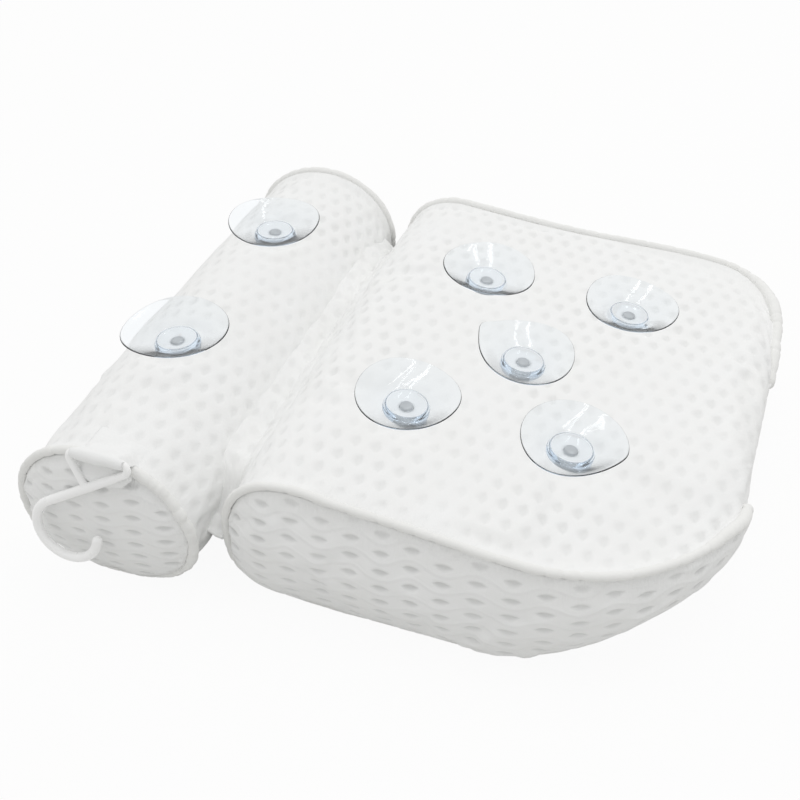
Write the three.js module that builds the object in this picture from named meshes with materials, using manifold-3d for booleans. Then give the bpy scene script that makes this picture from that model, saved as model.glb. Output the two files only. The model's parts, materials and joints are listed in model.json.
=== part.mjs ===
// Bath pillow: a wedge-shaped back pad and a neck roll in fabric covers, joined by a hinge strip,
// with suction cups on the back and a rod hook for hanging it up.
// Millimetres. +X runs from the roll to the pad's thin end, +Y along the roll, +Z up.
// The origin lies on the pad's flat underside, in the pad's mid-plane.
import * as THREE from 'three';
import { mergeVertices } from 'three/addons/utils/BufferGeometryUtils.js';
import Module from 'manifold-3d';

const wasm = await Module();
wasm.setup();

// Fits and fabric
const clearance = 0.3;
const seamGap = 0.5;
const coverThickness = 4;
const pipingRadius = 3;
const pipingStandOut = 0.5;

// Pad: the profile is a round back, a flat underside that ramps up, and a small round nose
const padBackX = -89.5;
const padNoseX = 190;
const padSeamLength = 310;
const padThickness = 93;
const padNoseRadius = 16;
const padNoseHeight = 54.4;
const padFlatEndX = 46;
const padRampRadius = 135;
const padCornerRadius = 115;
const padNearCornerPower = 2;
const padFarCornerPower = 6;
const padFarSplay = 12;
const padCrown = 2;
const padSideBulge = 0.13;

// Roll: an ellipse in section, lying on the same floor
const rollGap = 6;
const rollWidth = 112;
const rollHeight = 100;
const rollFloorFlat = 0.5;
const rollLength = 325;
const rollShift = -8;
const rollCrown = 1;
const rollEndBulge = 0.11;

// At the seams the cover is drawn up off the floor and back from the hinge, so that the piping is clear
const seamLift = 4;
const seamTuck = 3.5;
const seamDrawStart = 0.7;

// Hinge strip between roll and pad
const stripLength = 280;
const stripThickness = 3;
const stripHeight = 48;

// Suction cups
const cupRadius = 30;
const cupRimLip = 1.2;
const cupRimThickness = 0.9;
const cupHeight = 13;
const cupFloorHeight = 6.4;
const cupOuterBelly = 0.42;
const cupInnerBelly = 0.38;
const cupHubRadius = 13.5;
const cupHubHeight = 2.4;
const cupWaistRadius = 12.2;
const cupWaistHeight = 4.4;
const cupStemRadius = 4.8;
const cupStemClearance = 0.4;
const cupKnobRadius = 6.4;
const cupKnobHeight = 2.4;
const retainerRadius = 9.5;
const retainerThickness = 2.4;
const retainerClearance = 0.6;

// Where the cups sit: five on the pad in a slightly skewed quincunx, two on the roll's crown
const padCupCentreX = 43.5;
const padCupCentreY = -3;
const padCupColumnSpacing = 95;
const padCupRowSpacing = 139;
const padCupColumnLean = 4.4;
const padCupRowLean = 2.7;
const padCupMiddleShift = -5;
const rollCupOffsetX = -0.4;
const rollCupSpacing = 132;
const rollCupLean = 1.9;

// Hook: one bent rod with a three-sided eye and an open round end, leaning on the roll's end panel
const rodRadius = 2.15;
const hookBarLength = 35;
const hookCornerRadius = 3.6;
const hookBowlRadius = 19.2;
const hookBowlX = -24.5;
const hookBowlDrop = 54;
const hookTipAngle = -4;
const hookJunctionX = -9;
const hookOffsetX = 8;
const hookLean = 11;

// Tab that holds the hook's bar
const tabThickness = 1.5;
const tabWidth = 18;
const tabOffsetX = 0.5;
const tabBarClearance = 0.4;
const tabTailLength = 18;
const tabRiseAngle = 42;
const tabShoulderAngle = 99;

// Mesh counts
const padProfileSteps = 18;
const rollProfileSteps = 12;
const panelRows = 4;
const pipingSides = 6;
const lengthStations = [-1, -0.88, -seamDrawStart, -0.35, 0, 0.35, seamDrawStart, 0.88, 1];
const latheSegments = 16;
const rodSides = 8;
const rodStep = 4.2;

// Places that follow from the sizes above
const padBackRadius = padThickness / 2;
const rollX = padBackX - rollGap - rollWidth / 2;
const rollZ = rollHeight / 2 - rollFloorFlat;
const hingeX = padBackX - rollGap / 2;

function fabricMaterial() {
  return new THREE.MeshStandardMaterial({ color: 0xf3f3f0, roughness: 0.9, metalness: 0 });
}

function fillingMaterial() {
  return new THREE.MeshStandardMaterial({ color: 0xe9e7e0, roughness: 1, metalness: 0 });
}

function clearMaterial() {
  return new THREE.MeshStandardMaterial({
    color: 0xdfe9f0, roughness: 0.12, metalness: 0, transparent: true, opacity: 0.35,
  });
}

function rodMaterial() {
  return new THREE.MeshStandardMaterial({ color: 0xf6f6f4, roughness: 0.35, metalness: 0 });
}

function part(name, geometry, material) {
  const mesh = new THREE.Mesh(geometry, material);
  mesh.name = name;
  return mesh;
}

// Closed meshes from quads

class QuadMesh {
  constructor() {
    this.positions = [];
    this.triangles = [];
    this.lookup = new Map();
  }

  vertex(p) {
    const key = [p.x, p.y, p.z].map((v) => Math.round(v * 1e4)).join(',');
    if (!this.lookup.has(key)) {
      this.lookup.set(key, this.positions.length / 3);
      this.positions.push(p.x, p.y, p.z);
    }
    return this.lookup.get(key);
  }

  triangle(a, b, c) {
    const corners = [a, b, c].map((p) => this.vertex(p));
    if (new Set(corners).size === 3) {
      this.triangles.push(...corners);
    }
  }

  quad(a, b, c, d) {
    this.triangle(a, b, c);
    this.triangle(a, c, d);
  }

  // Surface through rows of points, the rows joined in order
  surface(rows) {
    for (let r = 0; r + 1 < rows.length; r += 1) {
      for (let c = 0; c + 1 < rows[r].length; c += 1) {
        this.quad(rows[r][c], rows[r][c + 1], rows[r + 1][c + 1], rows[r + 1][c]);
      }
    }
  }

  geometry() {
    const geometry = new THREE.BufferGeometry();
    geometry.setAttribute('position', new THREE.Float32BufferAttribute(this.positions, 3));
    geometry.setIndex(this.triangles);
    return facingOut(geometry);
  }
}

function signedVolume(geometry) {
  const p = geometry.attributes.position;
  const index = geometry.index;
  const corner = [new THREE.Vector3(), new THREE.Vector3(), new THREE.Vector3()];
  let sum = 0;
  for (let i = 0; i < index.count; i += 3) {
    corner.forEach((v, j) => v.fromBufferAttribute(p, index.getX(i + j)));
    sum += corner[0].dot(corner[1].clone().cross(corner[2]));
  }
  return sum / 6;
}

// The same surface with its faces turned to point out of the body
function facingOut(geometry) {
  if (signedVolume(geometry) < 0) {
    const index = geometry.index;
    for (let i = 0; i < index.count; i += 3) {
      const second = index.getX(i + 1);
      index.setX(i + 1, index.getX(i + 2));
      index.setX(i + 2, second);
    }
  }
  return geometry;
}

// Joining and cutting

function weld(geometry) {
  const welded = geometry.clone();
  welded.deleteAttribute('normal');
  welded.deleteAttribute('uv');
  return facingOut(mergeVertices(welded, 1e-3));
}

function toSolid(geometry) {
  const welded = weld(geometry);
  return new wasm.Manifold(new wasm.Mesh({
    numProp: 3,
    vertProperties: new Float32Array(welded.attributes.position.array),
    triVerts: new Uint32Array(welded.index.array),
  }));
}

function toGeometry(solid) {
  const mesh = solid.getMesh();
  const geometry = new THREE.BufferGeometry();
  geometry.setAttribute('position', new THREE.BufferAttribute(mesh.vertProperties, mesh.numProp));
  geometry.setIndex(new THREE.BufferAttribute(mesh.triVerts, 1));
  return geometry;
}

function cutAway(geometry, tools) {
  return toGeometry(tools.reduce((rest, tool) => rest.subtract(toSolid(tool)), toSolid(geometry)));
}

function joined(geometries) {
  return toGeometry(geometries.map(toSolid).reduce((whole, piece) => whole.add(piece)));
}

// Cushion profiles, drawn in XZ as an upper and a lower half from the back to the front

// Tilt of the straight edge that runs off one circle and onto the next
function edgeTilt(dx, dz, radiusDrop) {
  return Math.asin(radiusDrop / Math.hypot(dx, dz)) - Math.atan2(dz, dx);
}

function padProfile() {
  const back = { x: padBackX + padBackRadius, z: padBackRadius };
  const nose = { x: padNoseX - padNoseRadius, z: padNoseHeight };
  const topTilt = edgeTilt(nose.x - back.x, nose.z - back.z, padBackRadius - padNoseRadius);
  const rampTilt = edgeTilt(nose.x - padFlatEndX, padRampRadius - nose.z, padRampRadius - padNoseRadius);
  const rampEnd = 1.5 * Math.PI + rampTilt;
  const upper = new THREE.Path();
  upper.absarc(back.x, back.z, padBackRadius, Math.PI, Math.PI / 2 - topTilt, true);
  upper.absarc(nose.x, nose.z, padNoseRadius, Math.PI / 2 - topTilt, 0, true);
  const lower = new THREE.Path();
  lower.absarc(back.x, back.z, padBackRadius, Math.PI, 1.5 * Math.PI, false);
  lower.absarc(padFlatEndX, padRampRadius, padRampRadius, 1.5 * Math.PI, rampEnd, false);
  lower.absarc(nose.x, nose.z, padNoseRadius, rampEnd, 2 * Math.PI, false);
  return { upper, lower, topTilt, topPoint: back };
}

function rollProfile() {
  const upper = new THREE.Path();
  upper.absellipse(rollX, rollZ, rollWidth / 2, rollHeight / 2, Math.PI, 0, true, 0);
  const lower = new THREE.Path();
  lower.absellipse(rollX, rollZ, rollWidth / 2, rollHeight / 2, Math.PI, 2 * Math.PI, false, 0);
  return { upper, lower };
}

// Points along half a profile, closer together towards its round ends
function profilePoints(path, steps) {
  const points = [];
  for (let k = 0; k <= steps; k += 1) {
    const even = k / steps;
    const eased = (1 - Math.cos(Math.PI * even)) / 2;
    const p = path.getPoint((even + eased) / 2);
    points.push(new THREE.Vector2(p.x, Math.max(p.y, 0)));
  }
  return points;
}

// Outward normals of a closed outline that runs clockwise
function outlineNormals(outline) {
  return outline.map((p, i) => {
    const before = outline.at(i - 1);
    const after = outline[(i + 1) % outline.length];
    return new THREE.Vector2(before.y - after.y, after.x - before.x).normalize();
  });
}

// A cushion is a profile, the wall that its side panels stand on, and the way its fabric swells.
// wall(x, side) gives the half length in Y at x on the near (-1) or far (1) side, and the wall's
// outward direction there. hingeSide is the X direction in which the hinge lies.
class Cushion {
  constructor({ profile, steps, wall, hingeSide, shift, crown, bulge }) {
    const upper = profilePoints(profile.upper, steps);
    const lower = profilePoints(profile.lower, steps);
    this.steps = steps;
    this.outline = [...upper, ...lower.slice(1, -1).reverse()];
    this.normals = outlineNormals(this.outline);
    this.wall = wall;
    this.hingeSide = hingeSide;
    this.shift = shift;
    this.crown = crown;
    this.bulge = bulge;
  }

  swell(share) {
    return this.crown * (1 - share * share);
  }

  // Point of the profile in XZ, moved in by depth, at a share of the half length
  section(i, share, depth) {
    const p = this.outline[i];
    const n = this.normals[i];
    const reach = Math.max(0, Math.abs(share) - seamDrawStart) / (1 - seamDrawStart);
    const out = this.swell(share) * Math.max(0, n.y) - depth;
    const lift = seamLift * reach * reach * Math.max(0, -n.y);
    const tuck = seamTuck * reach * reach * Math.max(0, n.x * this.hingeSide);
    return new THREE.Vector2(p.x + n.x * out - this.hingeSide * tuck, p.y + n.y * out + lift);
  }

  // Closed ring of points round the cover at a share of the half length, its ends moved by endOffset
  ring(share, depth, endOffset) {
    const points = this.outline.map((_, i) => {
      const q = this.section(i, share, depth);
      if (Math.abs(share) === 1) {
        return this.beside(q, endOffset, share);
      }
      const { half } = this.wall(q.x, Math.sign(share));
      return new THREE.Vector3(q.x, this.shift + share * half, q.y);
    });
    return [...points, points[0]];
  }

  // Point beside the side wall, moved out of it by offset
  beside(q, offset, side) {
    const wall = this.wall(q.x, side);
    const y = side * (wall.half + wall.outY * offset);
    return new THREE.Vector3(q.x + wall.outX * offset, this.shift + y, q.y);
  }

  // Grid of points across one end, bulging most where the end is tallest
  endGrid(depth, offset, side) {
    const grid = [];
    for (let k = 0; k <= this.steps; k += 1) {
      const top = this.section(k, 1, depth);
      const lowIndex = (2 * this.steps - k) % this.outline.length;
      const bottom = this.section(k === this.steps ? k : lowIndex, 1, depth);
      const height = top.y - bottom.y;
      const column = [];
      for (let r = 0; r <= panelRows; r += 1) {
        const w = r / panelRows;
        const out = offset + this.bulge * height * 4 * w * (1 - w);
        column.push(this.beside(bottom.clone().lerp(top, w), out, side));
      }
      grid.push(column);
    }
    return grid;
  }

  // Fabric tube round the filling, open at both ends
  wrap() {
    const mesh = new QuadMesh();
    const outer = lengthStations.map((share) => this.ring(share, 0, 0));
    const inner = lengthStations.map((share) => this.ring(share, coverThickness, 0));
    mesh.surface(outer);
    mesh.surface([...inner].reverse());
    mesh.surface([inner[0], outer[0]]);
    mesh.surface([outer.at(-1), inner.at(-1)]);
    return mesh.geometry();
  }

  // Side panel over one open end, edged by the piping
  panel(side) {
    const inset = pipingRadius + clearance - pipingStandOut;
    const outer = this.endGrid(inset, seamGap + coverThickness, side);
    const inner = this.endGrid(inset, seamGap, side);
    const mesh = new QuadMesh();
    mesh.surface(outer);
    mesh.surface([...inner].reverse());
    mesh.surface([outer.map((column) => column[0]), inner.map((column) => column[0])]);
    mesh.surface([inner.map((column) => column.at(-1)), outer.map((column) => column.at(-1))]);
    return mesh.geometry();
  }

  // Filling that follows the cover and the side panels
  core() {
    const depth = coverThickness + clearance;
    const mesh = new QuadMesh();
    mesh.surface(lengthStations.map((share) => this.ring(share, depth, -clearance)));
    mesh.surface(this.endGrid(depth, -clearance, -1).reverse());
    mesh.surface(this.endGrid(depth, -clearance, 1));
    return mesh.geometry();
  }

  // Route of the piping round one end, as points with the wall's outward direction at each.
  // A sharp tip is turned with a half circle instead.
  pipingRoute(side, sharpTip) {
    const offset = pipingRadius + seamGap;
    const route = this.outline.map((_, i) => {
      const q = this.section(i, 1, -pipingStandOut);
      const wall = this.wall(q.x, side);
      const out = new THREE.Vector3(wall.outX, side * wall.outY, 0);
      return { point: this.beside(q, offset, side), out };
    });
    if (sharpTip) {
      const before = route[this.steps - 1];
      const after = route[this.steps + 1];
      const centre = before.point.clone().lerp(after.point, 0.5);
      const radius = before.point.distanceTo(after.point) / 2;
      const out = before.out.clone().add(after.out).normalize();
      const along = new THREE.Vector3(side * out.y, -side * out.x, 0);
      const turn = [45, 90, 135].map((degrees) => {
        const angle = THREE.MathUtils.degToRad(degrees);
        const point = centre.clone().addScaledVector(along, radius * Math.sin(angle));
        point.z += radius * Math.cos(angle);
        return { point, out };
      });
      route.splice(this.steps, 1, ...turn);
    }
    return route;
  }

  piping(side, sharpTip = false) {
    const route = this.pipingRoute(side, sharpTip);
    const rings = route.map((here, i) => {
      const next = route[(i + 1) % route.length].point;
      const ahead = next.clone().sub(route.at(i - 1).point).normalize();
      const out = here.out.clone().addScaledVector(ahead, -here.out.dot(ahead)).normalize();
      const across = ahead.clone().cross(out);
      const ring = [];
      for (let s = 0; s < pipingSides; s += 1) {
        const angle = (2 * Math.PI * s) / pipingSides;
        ring.push(here.point.clone().addScaledVector(out, pipingRadius * Math.cos(angle))
          .addScaledVector(across, pipingRadius * Math.sin(angle)));
      }
      return [...ring, ring[0]];
    });
    const mesh = new QuadMesh();
    mesh.surface([...rings, rings[0]]);
    return mesh.geometry();
  }
}

// The pad in plan: the near side is straight with a round corner at the thin end, and the far side
// splays out to a squarer one
function padWall(x, side) {
  const power = side < 0 ? padNearCornerPower : padFarCornerPower;
  const splay = side < 0 ? 0 : padFarSplay;
  const past = Math.min(1, Math.max(0, (x - padNoseX) / padCornerRadius + 1));
  const left = Math.sqrt(1 - past ** power);
  const out = new THREE.Vector2(power * past ** (power - 1), 2 * left).normalize();
  const spread = splay * THREE.MathUtils.smoothstep(x, 0, padNoseX);
  return { half: padSeamLength / 2 + spread - padCornerRadius * (1 - left), outX: out.x, outY: out.y };
}

function rollWall() {
  return { half: rollLength / 2, outX: 0, outY: 1 };
}

const padShape = padProfile();
const pad = new Cushion({
  profile: padShape, steps: padProfileSteps, wall: padWall, hingeSide: -1, shift: 0,
  crown: padCrown, bulge: padSideBulge,
});
const roll = new Cushion({
  profile: rollProfile(), steps: rollProfileSteps, wall: rollWall, hingeSide: 1, shift: rollShift,
  crown: rollCrown, bulge: rollEndBulge,
});

// Cup seats: a point on the fabric, the way that the cup faces, and how far the curved fabric
// falls away under the cup's retainer

function padSeat(x, y) {
  const facing = new THREE.Vector3(Math.sin(padShape.topTilt), 0, Math.cos(padShape.topTilt));
  const { x: backX, z: backZ } = padShape.topPoint;
  const rise = padBackRadius + pad.swell(y / pad.wall(x, Math.sign(y)).half);
  const level = (rise - facing.x * (x - backX)) / facing.z;
  return { point: new THREE.Vector3(x, y, backZ + level), facing, sag: 0 };
}

function rollSeat(x, y) {
  const across = (x - rollX) / (rollWidth / 2);
  const up = Math.sqrt(1 - across * across);
  const facing = new THREE.Vector3(across / rollWidth, 0, up / rollHeight).normalize();
  const point = new THREE.Vector3(x, y, rollZ + up * rollHeight / 2);
  point.addScaledVector(facing, roll.swell((y - rollShift) / roll.wall(x).half) * facing.z);
  const edge = (Math.abs(x - rollX) + retainerRadius) / (rollWidth / 2);
  return { point, facing, sag: (rollHeight / 2) * (1 - Math.sqrt(1 - edge * edge)) };
}

function padSeats() {
  const corners = [[-1, 1], [1, 1], [-1, -1], [1, -1]].map(([column, row]) => padSeat(
    padCupCentreX + column * padCupColumnSpacing / 2 + row * padCupColumnLean,
    padCupCentreY + row * padCupRowSpacing / 2 + column * padCupRowLean,
  ));
  return [...corners, padSeat(padCupCentreX, padCupCentreY + padCupMiddleShift)];
}

function rollSeats() {
  return [1, -1].map((row) => rollSeat(
    rollX + rollCupOffsetX + row * rollCupLean,
    rollShift + row * rollCupSpacing / 2,
  ));
}

function seatMatrix(seat) {
  const turn = new THREE.Quaternion().setFromUnitVectors(new THREE.Vector3(0, 0, 1), seat.facing);
  return new THREE.Matrix4().compose(seat.point, turn, new THREE.Vector3(1, 1, 1));
}

// Turned bodies, from (radius, height) points about Z
function turned(points) {
  const geometry = new THREE.LatheGeometry(points.map(([r, z]) => new THREE.Vector2(r, z)), latheSegments);
  return weld(geometry.rotateX(Math.PI / 2));
}

// Heights on a cup's axis, from the fabric's surface
function stemHeights(sag) {
  const retainerTop = -coverThickness - retainerClearance - sag;
  const retainerBottom = retainerTop - retainerThickness;
  const knobTop = retainerBottom - clearance;
  return { retainerTop, retainerBottom, knobTop, knobBottom: knobTop - cupKnobHeight };
}

function suctionCup(sag) {
  const { knobTop, knobBottom } = stemHeights(sag);
  const knobChamfer = cupKnobHeight / 3;
  const lipStart = cupRadius - cupRimLip;
  const middle = (cupWaistRadius + cupRadius) / 2;
  const middleHeight = cupWaistHeight + cupOuterBelly * (cupHeight - cupRimThickness - cupWaistHeight);
  const middleFloor = cupFloorHeight + cupInnerBelly * (cupHeight - cupFloorHeight);
  return turned([
    [0, knobBottom],
    [cupKnobRadius - knobChamfer, knobBottom],
    [cupKnobRadius, knobBottom + knobChamfer],
    [cupKnobRadius, knobTop],
    [cupStemRadius, knobTop],
    [cupStemRadius, clearance],
    [cupHubRadius, clearance],
    [cupHubRadius, cupHubHeight],
    [cupWaistRadius, cupHubHeight],
    [cupWaistRadius, cupWaistHeight],
    [middle, middleHeight],
    [cupRadius, cupHeight - cupRimThickness],
    [cupRadius, cupHeight],
    [lipStart, cupHeight],
    [middle, middleFloor],
    [cupWaistRadius, cupFloorHeight + clearance],
    [0, cupFloorHeight],
  ]);
}

function cupRetainer(sag) {
  const { retainerTop, retainerBottom } = stemHeights(sag);
  const bore = cupStemRadius + clearance;
  return turned([
    [bore, retainerBottom],
    [retainerRadius, retainerBottom],
    [retainerRadius, retainerTop],
    [bore, retainerTop],
    [bore, retainerBottom],
  ]);
}

// A straight round cutter on a seat's axis, from a floor height up to well clear of the cover
function cutter(radius, floor, seat) {
  const top = coverThickness;
  return turned([[0, floor], [radius, floor], [radius, top], [0, top]]).applyMatrix4(seatMatrix(seat));
}

function stemHoles(cover, seats) {
  const radius = cupStemRadius + cupStemClearance;
  return cutAway(cover, seats.map((seat) => cutter(radius, stemHeights(seat.sag).knobBottom, seat)));
}

function retainerPockets(core, seats) {
  const radius = retainerRadius + 2 * clearance;
  return cutAway(core, seats.map((seat) => {
    const floor = stemHeights(seat.sag).knobBottom - 2 * clearance;
    return cutter(radius, floor, seat);
  }));
}

// Direction of a rod that runs straight off one circle and onto the next. turn is a circle's radius,
// positive where the rod goes round it clockwise, and 0 at a bare point.
function runAngle(from, next) {
  const dx = next.x - from.x;
  const dy = next.y - from.y;
  return Math.atan2(dy, dx) + Math.asin((next.turn - from.turn) / Math.hypot(dx, dy));
}

// A rod's centre line round a chain of circles: straight between them, each turned in its own sense
function rodLine(circles, endAngle) {
  const path = new THREE.Path();
  const runs = circles.slice(1).map((next, i) => runAngle(circles[i], next));
  path.moveTo(circles[0].x, circles[0].y);
  circles.slice(1).forEach((circle, i) => {
    const clockwise = circle.turn > 0;
    const quarter = clockwise ? Math.PI / 2 : -Math.PI / 2;
    const start = runs[i] + quarter;
    const end = i + 1 < runs.length ? runs[i + 1] + quarter : endAngle;
    path.absarc(circle.x, circle.y, Math.abs(circle.turn), start, end, clockwise);
  });
  return path;
}

// Flat rod path stood up in XZ
class StandingPath extends THREE.Curve {
  constructor(path, startShare) {
    super();
    this.path = path;
    this.startShare = startShare;
  }

  getPoint(t, target = new THREE.Vector3()) {
    const p = this.path.getPoint(this.startShare + (1 - this.startShare) * t);
    return target.set(p.x, 0, p.y);
  }
}

function rod(curve, steps) {
  const section = new THREE.Shape();
  section.absarc(0, 0, rodRadius, 0, 2 * Math.PI, false);
  return new THREE.ExtrudeGeometry(section, { steps, curveSegments: rodSides / 2, extrudePath: curve });
}

function hookGeometry() {
  const cornerX = hookBarLength / 2 - hookCornerRadius;
  const right = { x: cornerX, y: -hookCornerRadius, turn: hookCornerRadius };
  const left = { x: -cornerX, y: -hookCornerRadius, turn: hookCornerRadius };
  const bowl = { x: hookBowlX, y: -hookBowlDrop, turn: -hookBowlRadius };
  const slope = runAngle(right, bowl);
  const shankX = right.x - right.turn * Math.sin(slope);
  const shankY = right.y + right.turn * Math.cos(slope);
  const junction = { x: hookJunctionX, y: shankY + (hookJunctionX - shankX) * Math.tan(slope), turn: 0 };
  const path = rodLine([junction, left, right, bowl], THREE.MathUtils.degToRad(hookTipAngle));
  const length = path.getLength();
  const overlap = 3 * rodRadius;
  const main = rod(new StandingPath(path, overlap / length), Math.round((length - overlap) / rodStep));
  const foot = path.getPoint((overlap + rodRadius) / length);
  const bridge = rod(new THREE.LineCurve3(
    new THREE.Vector3(junction.x, 0, junction.y),
    new THREE.Vector3(foot.x, 0, foot.y),
  ), 1);
  const end = path.getPoint(1);
  const tip = new THREE.SphereGeometry(rodRadius, rodSides, rodSides / 2).translate(end.x, 0, end.y);
  return joined([main, bridge, tip]);
}

const tabRadius = rodRadius + tabBarClearance + tabThickness;
const rollEndY = rollShift - rollLength / 2;
const pipingTopY = rollEndY - pipingRadius - seamGap;
const pipingTopZ = rollZ + rollHeight / 2 + pipingStandOut;
const tabReach = pipingRadius + tabRadius + clearance;
const tabRise = THREE.MathUtils.degToRad(tabRiseAngle);
const hookPlace = new THREE.Vector3(
  rollX + hookOffsetX,
  pipingTopY - tabReach * Math.cos(tabRise),
  pipingTopZ + tabReach * Math.sin(tabRise),
);

// The tab in section, drawn from the bar: +x out of the roll's end, +y up. A ring of folded fabric
// round the bar, with a tail that runs back over the piping and lies on the roll.
function tabGeometry() {
  const pipingX = -tabReach * Math.cos(tabRise);
  const pipingCrest = pipingRadius + clearance - tabReach * Math.sin(tabRise);
  const coverTop = clearance - pipingStandOut - tabReach * Math.sin(tabRise);
  const tailX = pipingX - tabTailLength;
  const tailY = coverTop + roll.swell(1 - tabTailLength / (rollLength / 2));
  const ringEnd = Math.PI + Math.asin(-pipingCrest / tabRadius);
  const section = new THREE.Shape();
  section.absarc(0, 0, tabRadius, THREE.MathUtils.degToRad(tabShoulderAngle), ringEnd - 2 * Math.PI, true);
  section.lineTo(pipingX, pipingCrest);
  section.lineTo(tailX, tailY);
  section.lineTo(tailX, tailY + tabThickness);
  section.closePath();
  const bore = new THREE.Path();
  bore.absarc(0, 0, rodRadius + tabBarClearance, 0, 2 * Math.PI, false);
  section.holes.push(bore);
  const geometry = new THREE.ExtrudeGeometry(section, {
    depth: tabWidth, bevelEnabled: false, curveSegments: 6,
  });
  geometry.translate(0, 0, -tabWidth / 2);
  const outOfRoll = new THREE.Vector3(0, -1, 0);
  const up = new THREE.Vector3(0, 0, 1);
  const across = new THREE.Vector3(-1, 0, 0);
  geometry.applyMatrix4(new THREE.Matrix4().makeBasis(outOfRoll, up, across));
  return weld(geometry);
}

function stripGeometry() {
  const width = rollGap - 2 * clearance;
  return new THREE.BoxGeometry(width, stripLength, stripThickness);
}

function padGroup(seats) {
  const group = new THREE.Group();
  group.add(part('pad_wrap', stemHoles(pad.wrap(), seats), fabricMaterial()));
  group.add(part('pad_side_near', pad.panel(-1), fabricMaterial()));
  group.add(part('pad_side_far', pad.panel(1), fabricMaterial()));
  group.add(part('pad_piping_near', pad.piping(-1, true), fabricMaterial()));
  group.add(part('pad_piping_far', pad.piping(1, true), fabricMaterial()));
  group.add(part('pad_core', retainerPockets(pad.core(), seats), fillingMaterial()));
  const strip = part('hinge_strip', stripGeometry(), fabricMaterial());
  strip.position.set(hingeX, 0, stripHeight);
  group.add(strip);
  return group;
}

function rollGroup(seats) {
  const group = new THREE.Group();
  group.add(part('roll_wrap', stemHoles(roll.wrap(), seats), fabricMaterial()));
  group.add(part('roll_end_near', roll.panel(-1), fabricMaterial()));
  group.add(part('roll_end_far', roll.panel(1), fabricMaterial()));
  group.add(part('roll_piping_near', roll.piping(-1), fabricMaterial()));
  group.add(part('roll_piping_far', roll.piping(1), fabricMaterial()));
  group.add(part('roll_core', retainerPockets(roll.core(), seats), fillingMaterial()));
  const tab = part('hook_tab', tabGeometry(), fabricMaterial());
  tab.position.copy(hookPlace).setX(hookPlace.x + tabOffsetX);
  group.add(tab);
  const hook = part('hook', hookGeometry(), rodMaterial());
  hook.position.copy(hookPlace);
  hook.rotation.x = -THREE.MathUtils.degToRad(hookLean);
  group.add(hook);
  return group;
}

function cupGroup(seats) {
  const group = new THREE.Group();
  seats.forEach((seat, i) => {
    const place = new THREE.Group();
    place.applyMatrix4(seatMatrix(seat));
    place.add(part(`suction_cup_${i + 1}`, suctionCup(seat.sag), clearMaterial()));
    place.add(part(`cup_retainer_${i + 1}`, cupRetainer(seat.sag), clearMaterial()));
    group.add(place);
  });
  return group;
}

const padCups = padSeats();
const rollCups = rollSeats();
const pillow = new THREE.Group();
pillow.add(padGroup(padCups), rollGroup(rollCups), cupGroup([...rollCups, ...padCups]));

export default pillow;
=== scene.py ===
"""Looks of the bath pillow: two stuffed mesh-fabric cushions with piped ends, clear suction cups,
a rod hook in a folded tab, and the web that joins the cushions.

Sizes are in millimetres in the part's own frame, and meshes are made in metres. Where a value goes by
side, -1 is the near side, where the hook is, and 1 the far side.
"""
import json
import math
from collections.abc import Callable
from dataclasses import dataclass

import bpy
import numpy as np
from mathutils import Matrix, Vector


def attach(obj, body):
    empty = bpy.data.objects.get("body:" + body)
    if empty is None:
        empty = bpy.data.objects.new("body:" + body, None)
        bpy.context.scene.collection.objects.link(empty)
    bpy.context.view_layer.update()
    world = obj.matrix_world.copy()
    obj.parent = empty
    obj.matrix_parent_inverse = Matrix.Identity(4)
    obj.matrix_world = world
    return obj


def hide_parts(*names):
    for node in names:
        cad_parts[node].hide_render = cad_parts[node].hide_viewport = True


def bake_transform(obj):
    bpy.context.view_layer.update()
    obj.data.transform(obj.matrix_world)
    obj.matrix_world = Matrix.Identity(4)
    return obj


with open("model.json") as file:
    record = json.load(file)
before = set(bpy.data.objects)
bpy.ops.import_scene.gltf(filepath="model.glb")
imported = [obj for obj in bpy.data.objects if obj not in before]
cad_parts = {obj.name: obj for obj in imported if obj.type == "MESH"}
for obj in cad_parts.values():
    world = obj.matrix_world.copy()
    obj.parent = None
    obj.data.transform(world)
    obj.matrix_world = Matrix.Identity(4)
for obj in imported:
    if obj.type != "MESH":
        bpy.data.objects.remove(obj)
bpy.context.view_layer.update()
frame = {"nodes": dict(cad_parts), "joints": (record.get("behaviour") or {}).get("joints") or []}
scene = bpy.context.scene

MM = 0.001

# Pad: the CAD model's sizes, with a longer flat, a tighter ramp and a plan that is more askew
PAD_BACK_X = -89.5
PAD_NOSE_X = 190.0
PAD_TIP_X = {-1: 188.6, 1: 189.95}
PAD_SEAM_LENGTH = 310.0
PAD_THICKNESS = 93.0
PAD_NOSE_RADIUS = 16.0
PAD_NOSE_HEIGHT = 54.4
PAD_FLAT_END_X = 58.0
PAD_RAMP_RADIUS = 115.0
PAD_CORNER_RADIUS = 115.0
PAD_CORNER_POWER = {-1: 2, 1: 5}
PAD_SPLAY = {-1: 0.0, 1: 18.0}
PAD_CROWN = 2.0
PAD_SIDE_BULGE = 0.13
PAD_NOSE_SKEW = 0.04

# Roll: the CAD model's sizes, with a belly on the side away from the pad
ROLL_GAP = 6.0
ROLL_WIDTH = 112.0
ROLL_HEIGHT = 100.0
ROLL_FLOOR_FLAT = 0.5
ROLL_LENGTH = 325.0
ROLL_SHIFT = -8.0
ROLL_CROWN = 1.0
ROLL_BELLY = 3.5
ROLL_END_BULGE = 0.11

# Seams: the cover is drawn in towards them, and the piping hides the edge it shares with the panel
SEAM_LIFT = 1.0
SEAM_TUCK = 3.5
SEAM_DRAW_START = 0.7
SEAM_DEPTH = 1.6
SEAM_OFFSET = 1.6
PANEL_INSET = 2.8
PANEL_OFFSET = 4.5

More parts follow.
